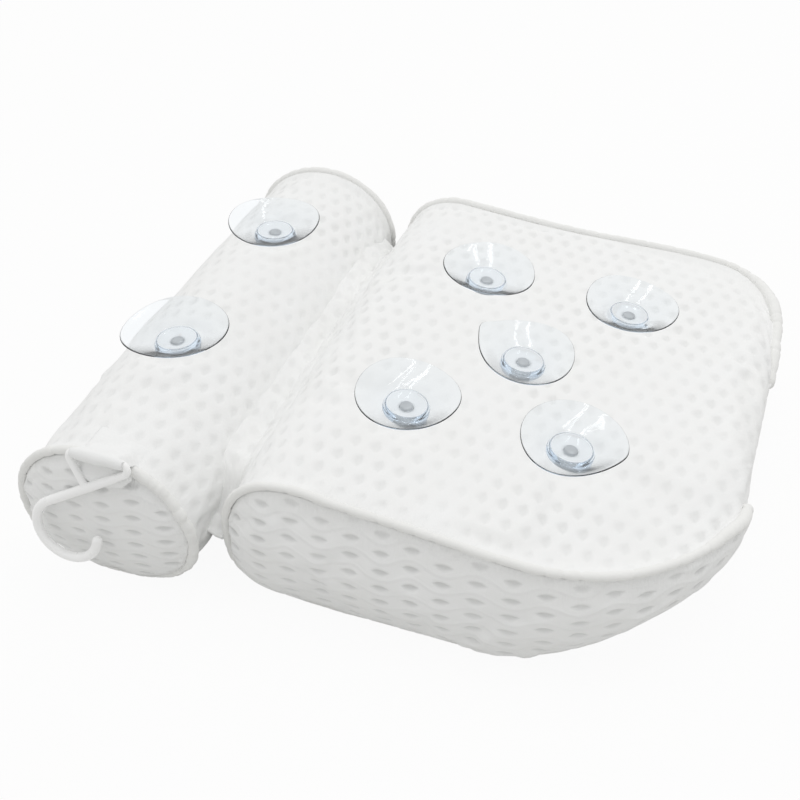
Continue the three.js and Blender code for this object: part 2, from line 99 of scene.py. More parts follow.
# Piping of the CAD model, which the tab goes over
PIPING_RADIUS = 3.0
PIPING_STAND_OUT = 0.5
PIPING_OFFSET = 3.5

# The piping as sewn: slimmer than in the CAD model, and drawn in along the underside
CORD_RADIUS = 2.5
CORD_STAND_OUT = 0.3
CORD_OFFSET = 2.6
CORD_SINK = 1.6
CORD_UNDER_SHARE = 0.5
CORD_UNDER_START = 0.4
CORD_UNDER_FADE = 0.5
CORD_END_X = {-1: 186.5, 1: 190.5}
CORD_SIDES = 14
CORD_SMOOTHING = 20
STITCH_STEP = 9.0
STITCH_SHIFT = 0.35
STITCH_SHIFT_SPAN = 40.0
STITCH_PINCH = 0.3
STITCH_PINCH_SPAN = 0.12
STITCH_EVEN = 0.4
CORD_WOBBLE = 0.05
CORD_WOBBLE_ROWS = {1: 11.0, 5: 4.0}
CORD_THICKER_AT_NOSE = 0.5
CORD_NOSE_X = 160.0
CORD_NOSE_FADE = 25.0
CORD_THICKER_AT_HOOK = 0.25
CORD_WRINKLE = 1.6
CORD_WRINKLE_X = 5.0
CORD_WRINKLE_FADE = 30.0
CORD_DRIFT = 0.35
CORD_DRIFT_SPAN = 16.0

# How much fuller the cushions are below, where they lie heavy
HEAVY_POWER = 2.6
FULL_POWER = 2.3
PANEL_LOW_POWER = 3.5
PANEL_HIGH_POWER = 2

# Stuffing: the covers start slack and are blown up by a cloth simulation
SLACK = 2.0
PRESSURE = 3.5
CLOTH_FRAMES = 20
CLOTH_QUALITY = 6
CLOTH_SPARE = -0.02
MOST_PROUD = 1.6
MOST_SUNK = 1.6
MOST_PROUD_AT_HINGE = 0.2
MOST_PROUD_AT_HOOK = 0.4

# Mesh counts
PAD_HALF_STEPS = 48
ROLL_HALF_STEPS = 28
LENGTH_STEPS = 46
PANEL_ROWS = 15
FINER = 4
ARC_STEP = 0.6

# Dimples of the air mesh: a lattice of lenses, with every other row moved by half a step
COVER_STEP = 11.8
COVER_ROW = 13.0
PANEL_STEP = 10.2
PANEL_ROW = 17.6
COVER_DIMPLE_LENGTH = 0.42
PANEL_DIMPLE_LENGTH = 0.33
# Lenses narrower above than below: a steeper upper wall, and in the colour, painted shade that is darkest
# near the upper edge
DIMPLE_UPPER = 0.20
DIMPLE_LOWER = 0.36
COVER_DIMPLE_WIDER = 1.4
DIMPLE_SOFT = 0.85
COVER_DIMPLE = 0.65
PANEL_DIMPLE = 1.1
# How much darker the dimples are coloured: partly the open knit's own grey, partly painted shade
COVER_PIT = 0.145
PANEL_PIT = 0.45

# Relief too fine for the mesh: heights in millimetres, and places and counts in steps of the lattice
KNIT_HEIGHT = 0.05
KNIT_STITCHES = (10, 9)
FUZZ_HEIGHT = 0.10
FUZZ_SCALE = 900.0
RIB_HEIGHT = 0.5
RIB_HALF = 0.16
RIB_OFFSET = 0.25
RIB_SWAY = 0.25
COVER_RIB_SHARE = 0.25
COVER_PULL = 0.8
COVER_PULLS = (7.0, 1.0)
PANEL_PULL = 2.0
PANEL_PULLS = (1.5, 10.0)
PIT_DEPTH = 1.6
RELIEF_STRENGTH = 0.6

# Unevenness of the fabric: how high each kind stands, its span, and where it fades from a seam
WARP_SPAN = 42.0
WARP_RISE = 0.7
WARP_SHARES = (0.13, 0.10)
UNEVEN_SPAN = 30.0
UNEVEN_RISE_SPAN = 45.0
COVER_UNEVEN = 0.75
PANEL_UNEVEN = 0.2
SEAM_FADE = 9.0
SEAM_PLAIN = 2.0
SEAM_PLAIN_FADE = 7.0
SEAT_OVERLAP = 2.0
SEAT_FADE = 8.0
PANEL_FADE = 8.0
GATHER = 0.75
GATHER_AT_HOOK = 0.8
GATHER_SPAN = 5.5
GATHER_LENGTH = 60.0
FOLD = 0.8
FOLD_AT_HOOK = 1.6
FOLD_SPAN = 11.0
FOLD_LENGTH = 70.0
FOLD_FADE = 32.0
HOOK_FOLDS_Y = 110.0
HOOK_FOLDS_FADE = 45.0
NOSE_CREASE = 0.9
NOSE_CREASES = 1.5
NOSE_CREASE_LENGTH = 45.0
NOSE_CREASE_X = 150.0
NOSE_CREASE_FADE = 30.0
HINGE_CREASE = 0.45
HINGE_CREASES = 0.6
HINGE_CREASE_SPAN = 9.0
COVER_LUMP = 0.45
COVER_LUMP_SPANS = (28.0, 34.0)
PANEL_GATHER = 0.9
PANEL_GATHER_SPAN = 6.0
PANEL_GATHER_START = 3.0
PANEL_GATHER_FADE = 7.0
PANEL_LUMP = 0.5
PANEL_LUMP_SPANS = (30.0, 26.0)

# Suction cups: the CAD model's sizes, with a thinner rim, and a slimmer stud in a slimmer hole
CUP_RADIUS = 30.0
CUP_RIM_LIP = 0.3
CUP_RIM_THICKNESS = 0.35
CUP_HEIGHT = 13.0
CUP_FLOOR_HEIGHT = 6.4
CUP_HUB_RADIUS = 13.5
CUP_HUB_HEIGHT = 2.4
CUP_WAIST_RADIUS = 12.2
CUP_WAIST_HEIGHT = 4.4
CUP_CLEARANCE = 0.3
CUP_RIM_ROUND = ((0.27, -0.04), (0.29, 0.13), (0.11, 0.24))
CUP_FOOT_ROUND = 0.4
CUP_HUB_ROUND = 0.35
CUP_WAIST_ROUND = ((0.3, 0.05), (0.0, 0.4))
CUP_DISH_FLOOR = ((-0.5, 0.02), (-1.4, -0.12), (-6.2, -0.05))
CUP_OUTER_SAG = 0.7
CUP_INNER_SAG = 0.9
CUP_FLARE_STEPS = 18
CUP_SEGMENTS = 96
CUP_MIDDLE = 1.5
CUP_BEND_POWER = 1.3
CUP_OVAL = 0.02
CUP_CORNER_SPAN = 0.28
CUP_CORNER_LIFT = 0.6
STUD_RADIUS = 3.8
STUD_TOP = 1.7
STUD_ROUND = 0.4
STUD_KNOB_RADIUS = 6.4
STUD_KNOB_TOP = -7.4
STUD_KNOB_HEIGHT = 2.4
STUD_KNOB_ROUND = 0.8
STUD_KNOB_RISE = 0.1
HOLE_RADIUS = 4.1
HOLE_CELLS = 3
HOLE_EASE_CELLS = 8
POCKET_RADIUS = 10.5
POCKET_TOP = -4.3
POCKET_FLOOR = -11.6
SEAT_RADIUS = 13.0
FAR_OFF = 1e6

# Hook: the CAD model's centre line with a slightly longer tip, and a rod that swells past the eye
ROD_RADIUS = 2.15
SHANK_RADIUS = 2.8
SHANK_SWELL = 24.0
ROD_TIP_LEAST = 0.02
ROD_SIDES = 20
ROD_STEP = 0.8
ROD_VOXEL = 0.45
ROD_SMOOTHING = 14
HOOK_BAR_LENGTH = 35.0
HOOK_CORNER_RADIUS = 3.6
HOOK_BOWL_RADIUS = 19.2
HOOK_BOWL_X = -24.5
HOOK_BOWL_DROP = 54.0
HOOK_TIP_ANGLE = 2.0
HOOK_JUNCTION_X = -9.0
HOOK_LEAN = 11.0

# How much thinner the tab and the web are at their sewn edges
SHEET_EDGE_THINNER = 0.75

# Tab that holds the hook's bar, and how far it looks for the cover and panel that it lies on
TAB_WIDTH = 30.0
TAB_OFFSET_X = 0.5
TAB_THICKNESS = 1.1
TAB_CLEARANCE = 0.3
TAB_TAIL = 20.0
TAB_TAIL_LIFTS = {1.0: -0.9, 0.7: -0.3, 0.35: 0.6, 0.1: 1.8}
TAB_TAIL_WIDER = 0.04
TAB_WRAP_ANGLES = range(70, 271, 40)
TAB_DROP = 16.0
TAB_DROP_START = 2.2
TAB_DROP_STEPS = 6
TAB_HANG_CLEARANCE = 0.5
TAB_CORNER_CUTS = 3
TAB_HEM = 1.06
TAB_ROUND = 0.14
TAB_ROUND_POWER = 2.4
TAB_ROUND_LEAST = 0.02
TAB_EDGE = 0.6
TAB_EDGE_THINNER = 0.45
TAB_FREE_START = 0.3
TAB_FREE_SPAN = 0.7
TAB_EDGE_LATER = 0.55
TAB_EDGE_FASTER = 0.4
TAB_TILT = 0.5
TAB_DROOP = 3.2
TAB_DROOP_EDGE = 0.3
TAB_DROOP_RIGHT = 2.0
TAB_DROOP_RIGHT_EDGE = 0.25
TAB_DROOP_START = 7.0
TAB_DROOP_START_FADE = 6.0
TAB_DROOP_END = 1.0
TAB_DROOP_END_FADE = 4.0
TAB_PUFF = 0.5
TAB_PUFF_COUNTS = (7.0, 2.4)
TAB_LEVEL_SPAN = 2.5
TAB_CROWN_REACH = 32.0
TAB_CROWN_BEYOND = 30.0
TAB_PANEL_REACH = 14.0
TAB_PANEL_SPAN = 3.0
TAB_ROWS = 90
TAB_COLUMNS = 40

# Web between roll and pad
WEB_THICKNESS = 0.9
WEB_NEAR_Y = -157.0
WEB_FAR_Y = 142.0
WEB_TOP = 72.0
WEB_SAG = 9.0
WEB_SAG_UNEVEN = 0.4
WEB_SAG_SPAN = 14.0
WEB_SAG_LESS = 0.3
WEB_VALLEY = 0.45
WEB_VALLEY_SWAY = 0.12
WEB_VALLEY_SPAN = 25.0
WEB_WAVE = 1.0
WEB_WAVE_SPAN = 18.0
WEB_NEAR_WAVE = 2.5
WEB_NEAR_WAVE_SPAN = 6.0
WEB_LUMP = 0.7
WEB_LUMP_SPAN = 26.0
WEB_CRINKLE = 0.5
WEB_CRINKLE_SPAN = 5.0
WEB_NEAR_CRINKLE = 1.8
WEB_NEAR_BOW = 2.5
WEB_NEAR_DIP = 30.0
WEB_FAR_DIP = 12.0
WEB_END = 40.0
WEB_CLEARANCE = 0.3
WEB_SUNK = 1.2
WEB_FLANK_COLUMNS = 34
WEB_FLANK_BELOW = 10
WEB_ROWS = 240
WEB_COLUMNS = 26

# Camera that took the photograph
CAMERA_PLACE = (133.8, -494.0, 477.5)
CAMERA_TARGET = (-16.0, -63.8, 87.0)
CAMERA_FOCAL_PIXELS = 1027.0
PHOTO_PIXELS = 800.0
SENSOR_WIDTH = 36.0

# Stage: two strip lamps, the floor, and the sky's level from its dim to its bright side
STRIP_PLACES = {"left_strip": (50.0, 280.0, 1500.0), "right_strip": (500.0, 280.0, 1500.0)}
STRIP_WIDTH = 80.0
STRIP_LENGTH = 900.0
STRIP_WATTS = 2.0
FLOOR_HALF = 6000.0
FLOOR_BELOW = 0.3
FLOOR_SEEN_WHITE = 0.94
SKY_LEAST = 0.41
SKY_MOST = 0.955
SKY_BRIGHT_SIDE = (-0.35, 0.38, 0.85)

# Colours
WHITE = (1, 1, 1, 1)
FABRIC_WHITE = (0.895, 0.90, 0.898, 1)
FABRIC_CREAM = (0.87, 0.862, 0.83, 1)
CREAM_SHARE = 0.35
CREAM_SCALE = 38.0
# Grey of the dimples: partly the open knit's own colour, partly painted shade
PIT_GREY_AND_SHADE = (0.56, 0.565, 0.555, 1)
PIPING_WHITE = (0.87, 0.87, 0.855, 1)
PIPING_SHADE = (0.81, 0.81, 0.785, 1)
TAB_SHADE = (0.86, 0.86, 0.84, 1)
CLEAR_SURFACE = (0.965, 0.985, 1, 1)
CLEAR_BODY = (0.34, 0.60, 0.86, 1)
# Greys of the studs: painted shade, for the dim keyhole seen through the clear stem
STUD_DARK = (0.54, 0.56, 0.57, 1)
STUD_PALE = (0.68, 0.70, 0.71, 1)
HOOK_WHITE = (0.965, 0.965, 0.96, 1)
FLOOR_WHITE = (0.75, 0.75, 0.735, 1)

ROLL_X = PAD_BACK_X - ROLL_GAP - ROLL_WIDTH / 2
ROLL_Z = ROLL_HEIGHT / 2 - ROLL_FLOOR_FLAT
DOWN = 1.5 * math.pi


def joint(name):
    """Place in millimetres and axis of one of the part's joints."""
    found = next(j for j in frame["joints"] if j["name"] == name)
    return np.array(found["pos_m"]) / MM, np.array(found["axis"])


# Curves and noise


def ease(t):
    """Smooth step from 0 to 1."""
    t = np.clip(t, 0, 1)
    return t * t * (3 - 2 * t)


def over_last(share, span):
    """Smooth step from 0 to 1 over the last span of a share, which ends at 1."""
    return ease((share - (1 - span)) / span)


class Noise:
    """Smooth repeating noise in two directions, from -1 to 1. Bare numbers in its calls pick a row."""

    SIZE = 128

    def __init__(self, seed):
        self.table = np.random.default_rng(seed).uniform(-1, 1, (self.SIZE, self.SIZE))

    def __call__(self, x, y):
        x, y = np.broadcast_arrays(np.asarray(x, float), np.asarray(y, float))
        left, low = np.floor(x).astype(int), np.floor(y).astype(int)
        fx, fy = ease(x - left), ease(y - low)

        def corner(i, j):
            return self.table[(left + i) % self.SIZE, (low + j) % self.SIZE]

        below = corner(0, 0) * (1 - fx) + corner(1, 0) * fx
        above = corner(0, 1) * (1 - fx) + corner(1, 1) * fx
        return below * (1 - fy) + above * fy


warp_along, warp_across, strength_noise, gather_noise, fold_noise, lump_noise, crease_noise = (
    Noise(seed) for seed in range(11, 18)
)


def arc(centre, radii, start, end, power=2):
    """Points on an ellipse from one angle to another, squarer with a higher power."""
    angle = np.linspace(start, end, int(abs(end - start) * np.max(radii) / ARC_STEP) + 2)
    circle = np.stack([np.cos(angle), np.sin(angle)], 1)
    return np.asarray(centre) + np.sign(circle) * np.abs(circle) ** (2 / power) * radii


def run_angle(start, end):
    """Direction of a straight run off one circle (x, z, radius) onto the next, turned clockwise."""
    dx, dz = end[0] - start[0], end[1] - start[1]
    return math.atan2(dz, dx) + math.asin((end[2] - start[2]) / math.hypot(dx, dz))


def looped(line):
    """A line of points with its first one again at its end."""
    return np.concatenate([line, line[:1]])


def lengths(points):
    """Length along a line of points, from its start to each of them."""
    steps = np.linalg.norm(np.diff(points, axis=0), axis=1)
    return np.concatenate([[0], np.cumsum(steps)])


def resample(points, count):
    """A line of points made into count points, evenly spaced. Columns after the third go along."""
    along = lengths(points[:, :3])
    at = np.linspace(0, along[-1], count)
    return np.stack([np.interp(at, along, column) for column in points.T], 1)


def unit(vectors):
    size = np.linalg.norm(vectors, axis=-1, keepdims=True)
    return vectors / np.maximum(size, 1e-9)


def finer(grid, axis, closed):
    """Catmull-Rom points between the rows of a grid, FINER to each step."""
    rows = np.moveaxis(grid, axis, 0)
    count = len(rows)
    if closed:
        rows = np.concatenate([rows[-1:], rows, rows[:2]])
        at = np.arange(count * FINER) / FINER
    else:
        rows = np.concatenate([2 * rows[:1] - rows[1:2], rows, 2 * rows[-1:] - rows[-2:-1], rows[-1:]])
        at = np.arange((count - 1) * FINER + 1) / FINER
    k = np.floor(at).astype(int)
    f = (at - k).reshape(-1, *[1] * (rows.ndim - 1))
    p0, p1, p2, p3 = rows[k], rows[k + 1], rows[k + 2], rows[k + 3]
    out = p1 + 0.5 * f * (p2 - p0 + f * (2 * p0 - 5 * p1 + 4 * p2 - p3 + f * (3 * (p1 - p2) + p3 - p0)))
    return np.moveaxis(out, 0, axis)


# Meshes


def grid_quads(rows, columns):
    """Corners of a grid's quads, as places in the flattened grid."""
    at = np.arange(rows * columns).reshape(rows, columns)
    return np.stack([at[:-1, :-1], at[:-1, 1:], at[1:, 1:], at[1:, :-1]], -1).reshape(-1, 4)


def quads_of(ids):
    """Faces of a grid of vertex numbers."""
    return ids.ravel()[grid_quads(*ids.shape)]


def ring_ids(rings, around):
    """Vertex numbers of rings, with each ring's first number again at its end."""
    ids = np.arange(rings * around).reshape(rings, around)
    return np.concatenate([ids, ids[:, :1]], 1)


def linked(name, data):
    """A new object in the scene."""
    obj = bpy.data.objects.new(name, data)
    scene.collection.objects.link(obj)
    return obj


def new_object(name, points, faces):
    """Smooth-shaded object from points in millimetres."""
    mesh = bpy.data.meshes.new(name)
    mesh.from_pydata((np.asarray(points) * MM).tolist(), [], faces)
    mesh.shade_smooth()
    return linked(name, mesh)


def point_attribute(obj, name, values):
    """A number at each vertex, 0 at those past the values' end."""
    numbers = np.zeros(len(obj.data.vertices), np.float32)
    numbers[:len(values)] = values
    obj.data.attributes.new(name, "FLOAT", "POINT").data.foreach_set("value", numbers)


def weave_map(obj, corners):
    """Places on the dimple lattice for the faces' corners, 0 at those past the list's end."""
    places = np.zeros((len(obj.data.loops), 2), np.float32)
    places[:len(corners)] = corners
    obj.data.uv_layers.new(name="weave").uv.foreach_set("vector", places.ravel())


def evaluated_points(obj):
    """The object's points with its modifiers, in millimetres."""
    mesh = obj.evaluated_get(bpy.context.evaluated_depsgraph_get()).data
    flat = np.empty(len(mesh.vertices) * 3, np.float32)
    mesh.vertices.foreach_get("co", flat)
    return flat.reshape(-1, 3).astype(float) / MM


def frames_along(path, closed):
    """Two directions across a path at each of its points, turning as little as they can."""
    if closed:
        ahead = unit(np.roll(path, -1, 0) - np.roll(path, 1, 0))
    else:
        ahead = unit(np.gradient(path, axis=0))
    side = unit(np.cross(ahead[0], (0.0, 0.0, 1.0) if abs(ahead[0][2]) < 0.9 else (1.0, 0.0, 0.0)))
    sides = []
    for direction in ahead:
        side = unit(side - direction * np.dot(side, direction))
        sides.append(side)
    sides = np.array(sides)
    if closed:
        other = np.cross(ahead[0], sides[0])
        turned_on = unit(sides[-1] - ahead[0] * np.dot(sides[-1], ahead[0]))
        twist = math.atan2(np.dot(turned_on, other), np.dot(turned_on, sides[0]))
        angle = -twist * np.arange(len(path)) / len(path)
        across = np.cross(ahead, sides)
        sides = sides * np.cos(angle)[:, None] + across * np.sin(angle)[:, None]
    return sides, np.cross(ahead, sides)


def tube(path, radii, sides, closed):
    """Points and faces of a round tube with a radius at each point of its path."""
    first, second = frames_along(path, closed)
    angle = np.linspace(0, 2 * math.pi, sides, endpoint=False)
    ring = np.cos(angle)[:, None] * first[:, None] + np.sin(angle)[:, None] * second[:, None]
    points = (path[:, None] + radii[:, None, None] * ring).reshape(-1, 3)
    ids = ring_ids(len(path), sides)
    if closed:
        return points, quads_of(looped(ids))[:, ::-1].tolist()
    ends = [ids[0, :-1].tolist(), ids[-1, -2::-1].tolist()]
    return points, quads_of(ids)[:, ::-1].tolist() + ends


# Cushions


def pad_profile():
    """Upper and lower half of the pad's profile in XZ, from its back to its nose."""
    radius = PAD_THICKNESS / 2
    back = (PAD_BACK_X + radius, radius)
    nose = (PAD_NOSE_X - PAD_NOSE_RADIUS, PAD_NOSE_HEIGHT)
    ramp = (PAD_FLAT_END_X, PAD_RAMP_RADIUS)
    top_tilt = run_angle((*back, radius), (*nose, PAD_NOSE_RADIUS))
    ramp_tilt = run_angle((*ramp, -PAD_RAMP_RADIUS), (*nose, -PAD_NOSE_RADIUS))
    upper = np.concatenate([
        arc(back, radius, math.pi, math.pi / 2, FULL_POWER),
        arc(nose, PAD_NOSE_RADIUS, math.pi / 2 + top_tilt, 0),
    ])
    lower = np.concatenate([
        arc(back, radius, math.pi, DOWN, HEAVY_POWER),
        arc(ramp, PAD_RAMP_RADIUS, DOWN, DOWN + ramp_tilt),
        arc(nose, PAD_NOSE_RADIUS, DOWN + ramp_tilt, 2 * math.pi),
    ])
    return upper, lower


def roll_profile():
    """Upper and lower half of the roll's profile in XZ, from its free side to the pad's."""
    centre = (ROLL_X, ROLL_Z)
    radii = (ROLL_WIDTH / 2, ROLL_HEIGHT / 2)
    lower = np.concatenate([
        arc(centre, radii, math.pi, DOWN, HEAVY_POWER),
        arc(centre, radii, DOWN, 2 * math.pi),
    ])
    lower[:, 1] = np.maximum(lower[:, 1], 0)
    return arc(centre, radii, math.pi, 0), lower


def pad_wall(x, side):
    """Half length of the pad at x on one side, and the wall's outward direction there."""
    power = PAD_CORNER_POWER[side]
    past = np.clip((np.minimum(x, PAD_TIP_X[side]) - PAD_NOSE_X) / PAD_CORNER_RADIUS + 1, 0, 1)
    left = np.sqrt(1 - past ** power)
    out = unit(np.stack([power * past ** (power - 1), 2 * left], -1))
    spread = PAD_SPLAY[side] * ease(x / PAD_NOSE_X)
    return PAD_SEAM_LENGTH / 2 + spread - PAD_CORNER_RADIUS * (1 - left), out


def roll_wall(x, side):
    """Half length of the roll and its ends' outward direction, the same at any x and side."""
    half = np.full(np.shape(x), ROLL_LENGTH / 2)
    return half, np.stack([np.zeros_like(half), np.ones_like(half)], -1)


@dataclass
class Cushion:
    """A stuffed cover: its profile, the wall that its end panels stand on, and how far it swells."""

    name: str
    profile: tuple
    half_steps: int
    wall: Callable
    hinge_side: int
    shift: float
    crown: float
    belly: float
    bulge: float
    low_power: float
    skew: float
    seats: list

    def __post_init__(self):
        upper, lower = (resample(half, self.half_steps + 1) for half in self.profile)
        self.outline = np.concatenate([upper, lower[-2:0:-1]])
        along = np.roll(self.outline, -1, 0) - np.roll(self.outline, 1, 0)
        self.normals = unit(np.stack([-along[:, 1], along[:, 0]], 1))

    def section(self, share, depth):
        """Profile in XZ at a share of the half length, moved in by depth."""
        reach = max(0, abs(share) - SEAM_DRAW_START) / (1 - SEAM_DRAW_START)
        nx, nz = self.normals.T
        swell = self.crown * np.maximum(0, nz) + self.belly * np.maximum(0, -nx * self.hinge_side)
        out = swell * (1 - share * share) - depth
        lift = SEAM_LIFT * reach * reach * np.maximum(0, -nz)
        tuck = SEAM_TUCK * reach * reach * np.maximum(0, nx * self.hinge_side)
        x, z = self.outline.T
        return np.stack([x + nx * out - self.hinge_side * tuck, z + nz * out + lift], 1)

    def placed(self, flat, share, offset=0.0):
        """Points of a section at a share of the half length, moved out of the wall by offset."""
        half, out = self.wall(flat[..., 0], 1 if share > 0 else -1)
        x = flat[..., 0] + out[..., 0] * offset
        y = self.shift + share * (half + out[..., 1] * offset)
        return np.stack([x + self.skew * y * ease(x / PAD_NOSE_X), y, flat[..., 1]], -1)

    def cover(self, depth):
        """Grid of rings from the near seam to the far one."""
        shares = np.linspace(-1, 1, LENGTH_STEPS + 1)
        depths = np.where(abs(shares) == 1, 0, depth)
        rings = [self.placed(self.section(*at), at[0]) for at in zip(shares, depths)]
        near, far = (self.placed(self.section(1, SEAM_DEPTH), side, SEAM_OFFSET) for side in (-1, 1))
        return np.array([near, *rings, far])

    def panel(self, side, depth):
        """Inside points of an end panel, in rows from the bottom."""
        edge = self.section(1, PANEL_INSET)
        top = edge[1:self.half_steps]
        bottom = edge[:self.half_steps:-1]
        height = top[:, 1] - bottom[:, 1]
        rows = []
        for w in np.arange(1, PANEL_ROWS) / PANEL_ROWS:
            full = 1 - abs(2 * w - 1) ** (self.low_power if w < 0.5 else PANEL_HIGH_POWER)
            out = PANEL_OFFSET + self.bulge * height * full - depth
            rows.append(self.placed(bottom + (top - bottom) * w, side, out))
        return np.array(rows)

    def panel_ids(self, seam, first):
        """Vertex numbers of a panel's grid: the seam's at its edges, and inside counted from first."""
        half = len(seam) // 2
        rows = PANEL_ROWS * half // self.half_steps
        ids = np.empty((rows + 1, half + 1), int)
        lay_edges(ids, seam)
        ids[1:-1, 1:-1] = first + np.arange((rows - 1) * (half - 1)).reshape(rows - 1, half - 1)
        return ids

    def points(self, depth):
        """All points of the coarse cushion, moved in by depth where they are free."""
        panels = [self.panel(side, depth).reshape(-1, 3) for side in (-1, 1)]
        return np.concatenate([self.cover(depth).reshape(-1, 3), *panels])

    def grids(self, rings, around):
        """Vertex numbers of the cover's grid and of the near and far panel."""
        cover = ring_ids(rings, around)
        near = self.panel_ids(cover[0, :-1], rings * around)
        far = self.panel_ids(cover[-1, :-1], near[1:-1, 1:-1].max() + 1)
        return cover, near, far[:, ::-1]

    def from_seats(self, points):
        """For each cup, the points' way out from its axis, and how far, those below being far off."""
        for place, axis in self.seats:
            away = points - place
            height = away @ axis
            out = away - height[..., None] * axis
            yield out, np.where(height > -SEAT_RADIUS, np.linalg.norm(out, axis=-1), FAR_OFF)

    def stuffed(self):
        """Points of the coarse cushion, blown up and kept near the CAD model's surface."""
        rest = self.points(0)
        rings, around = LENGTH_STEPS + 3, 2 * self.half_steps
        faces = np.concatenate([quads_of(ids) for ids in self.grids(rings, around)])
        held = np.zeros(len(rest), bool)
        held[:rings * around].reshape(rings, around)[[0, 1, -2, -1]] = True
        for _, distance in self.from_seats(rest):
            held |= distance < SEAT_RADIUS
        start = np.where(held[:, None], rest, self.points(SLACK))
        start[:, 2] = np.maximum(start[:, 2], 0)
        # A corner that comes twice makes a triangle
        corners = [list(dict.fromkeys(face)) for face in faces.tolist()]
        return self.kept_near(rest, inflated(start, corners, np.flatnonzero(held)), faces)

    def kept_near(self, rest, moved, faces):
        """Points limited in their way out of and into the rest surface, most beside a neighbour."""
        normals = np.zeros_like(rest)
        crossed = np.cross(rest[faces[:, 2]] - rest[faces[:, 0]], rest[faces[:, 3]] - rest[faces[:, 1]])
        for corner in range(4):
            np.add.at(normals, faces[:, corner], crossed)
        normals = unit(normals)
        out = ((moved - rest) * normals).sum(1)
        facing_hinge = ease(2 * normals[:, 0] * self.hinge_side)
        most = MOST_PROUD + (MOST_PROUD_AT_HINGE - MOST_PROUD) * facing_hinge
        near_end = ease(-2 * normals[:, 1]) if self.hinge_side > 0 else np.zeros(len(rest))
        most = most + (MOST_PROUD_AT_HOOK - most) * near_end
        limited = rest + normals * np.clip(out, -MOST_SUNK, most)[:, None]
        limited[:, 2] = np.maximum(limited[:, 2], 0)
        return limited


def lay_edges(grid, seam):
    """Lays the edges of a panel's grid on its seam, whose first half is the top."""
    half = len(seam) // 2
    grid[0] = seam[-np.arange(half + 1)]
    grid[-1] = seam[:half + 1]
    grid[:, 0] = seam[0]
    grid[:, -1] = seam[half]


def inflated(points, faces, held):
    """Points of a closed cover after a cloth simulation with air pressure inside."""
    obj = new_object("cloth_work", points, faces)
    group = obj.vertex_groups.new(name="held")
    group.add(held.tolist(), 1.0, "REPLACE")
    cloth = obj.modifiers.new("cloth", "CLOTH")
    cloth.settings.quality = CLOTH_QUALITY
    cloth.settings.vertex_group_mass = group.name
    cloth.settings.use_pressure = True
    cloth.settings.uniform_pressure_force = PRESSURE
    cloth.settings.shrink_min = CLOTH_SPARE
    cloth.settings.effector_weights.gravity = 0
    cloth.point_cache.frame_start = 1
    cloth.point_cache.frame_end = CLOTH_FRAMES
    for step in range(1, CLOTH_FRAMES + 1):
        scene.frame_set(step)
    moved = evaluated_points(obj)
    mesh = obj.data
    bpy.data.objects.remove(obj)
    bpy.data.meshes.remove(mesh)
    scene.frame_set(1)
    return moved


# The cushions' fine surface


def dimples(a, b, length, wider=1.0):
    """Depth of the dimples from 0 to 1, at places on their lattice."""
    row = np.floor(b)
    across = ((a + 0.5 * row) % 1 - 0.5) / wider
    along = b - row - 0.5
    lens = 1 - (along / length) ** 2 - np.maximum(across / DIMPLE_UPPER, -across / DIMPLE_LOWER)
    return ease(lens / DIMPLE_SOFT)


def grid_normals(grid, closed):
    """Normals of a grid of points, with columns along the first direction."""
    if closed:
        along = np.roll(grid, -1, 1) - np.roll(grid, 1, 1)
    else:
        along = np.gradient(grid, axis=1)
    return unit(np.cross(along, np.gradient(grid, axis=0)))


def warp(points):
    """Small uneven shifts of the dimple lattice, in steps of it."""
    x, y, z = np.moveaxis(points, -1, 0)
    flat = (x + WARP_RISE * z) / WARP_SPAN
    noises = (warp_along, warp_across)
    return [share * noise(flat, y / WARP_SPAN) for share, noise in zip(WARP_SHARES, noises)]


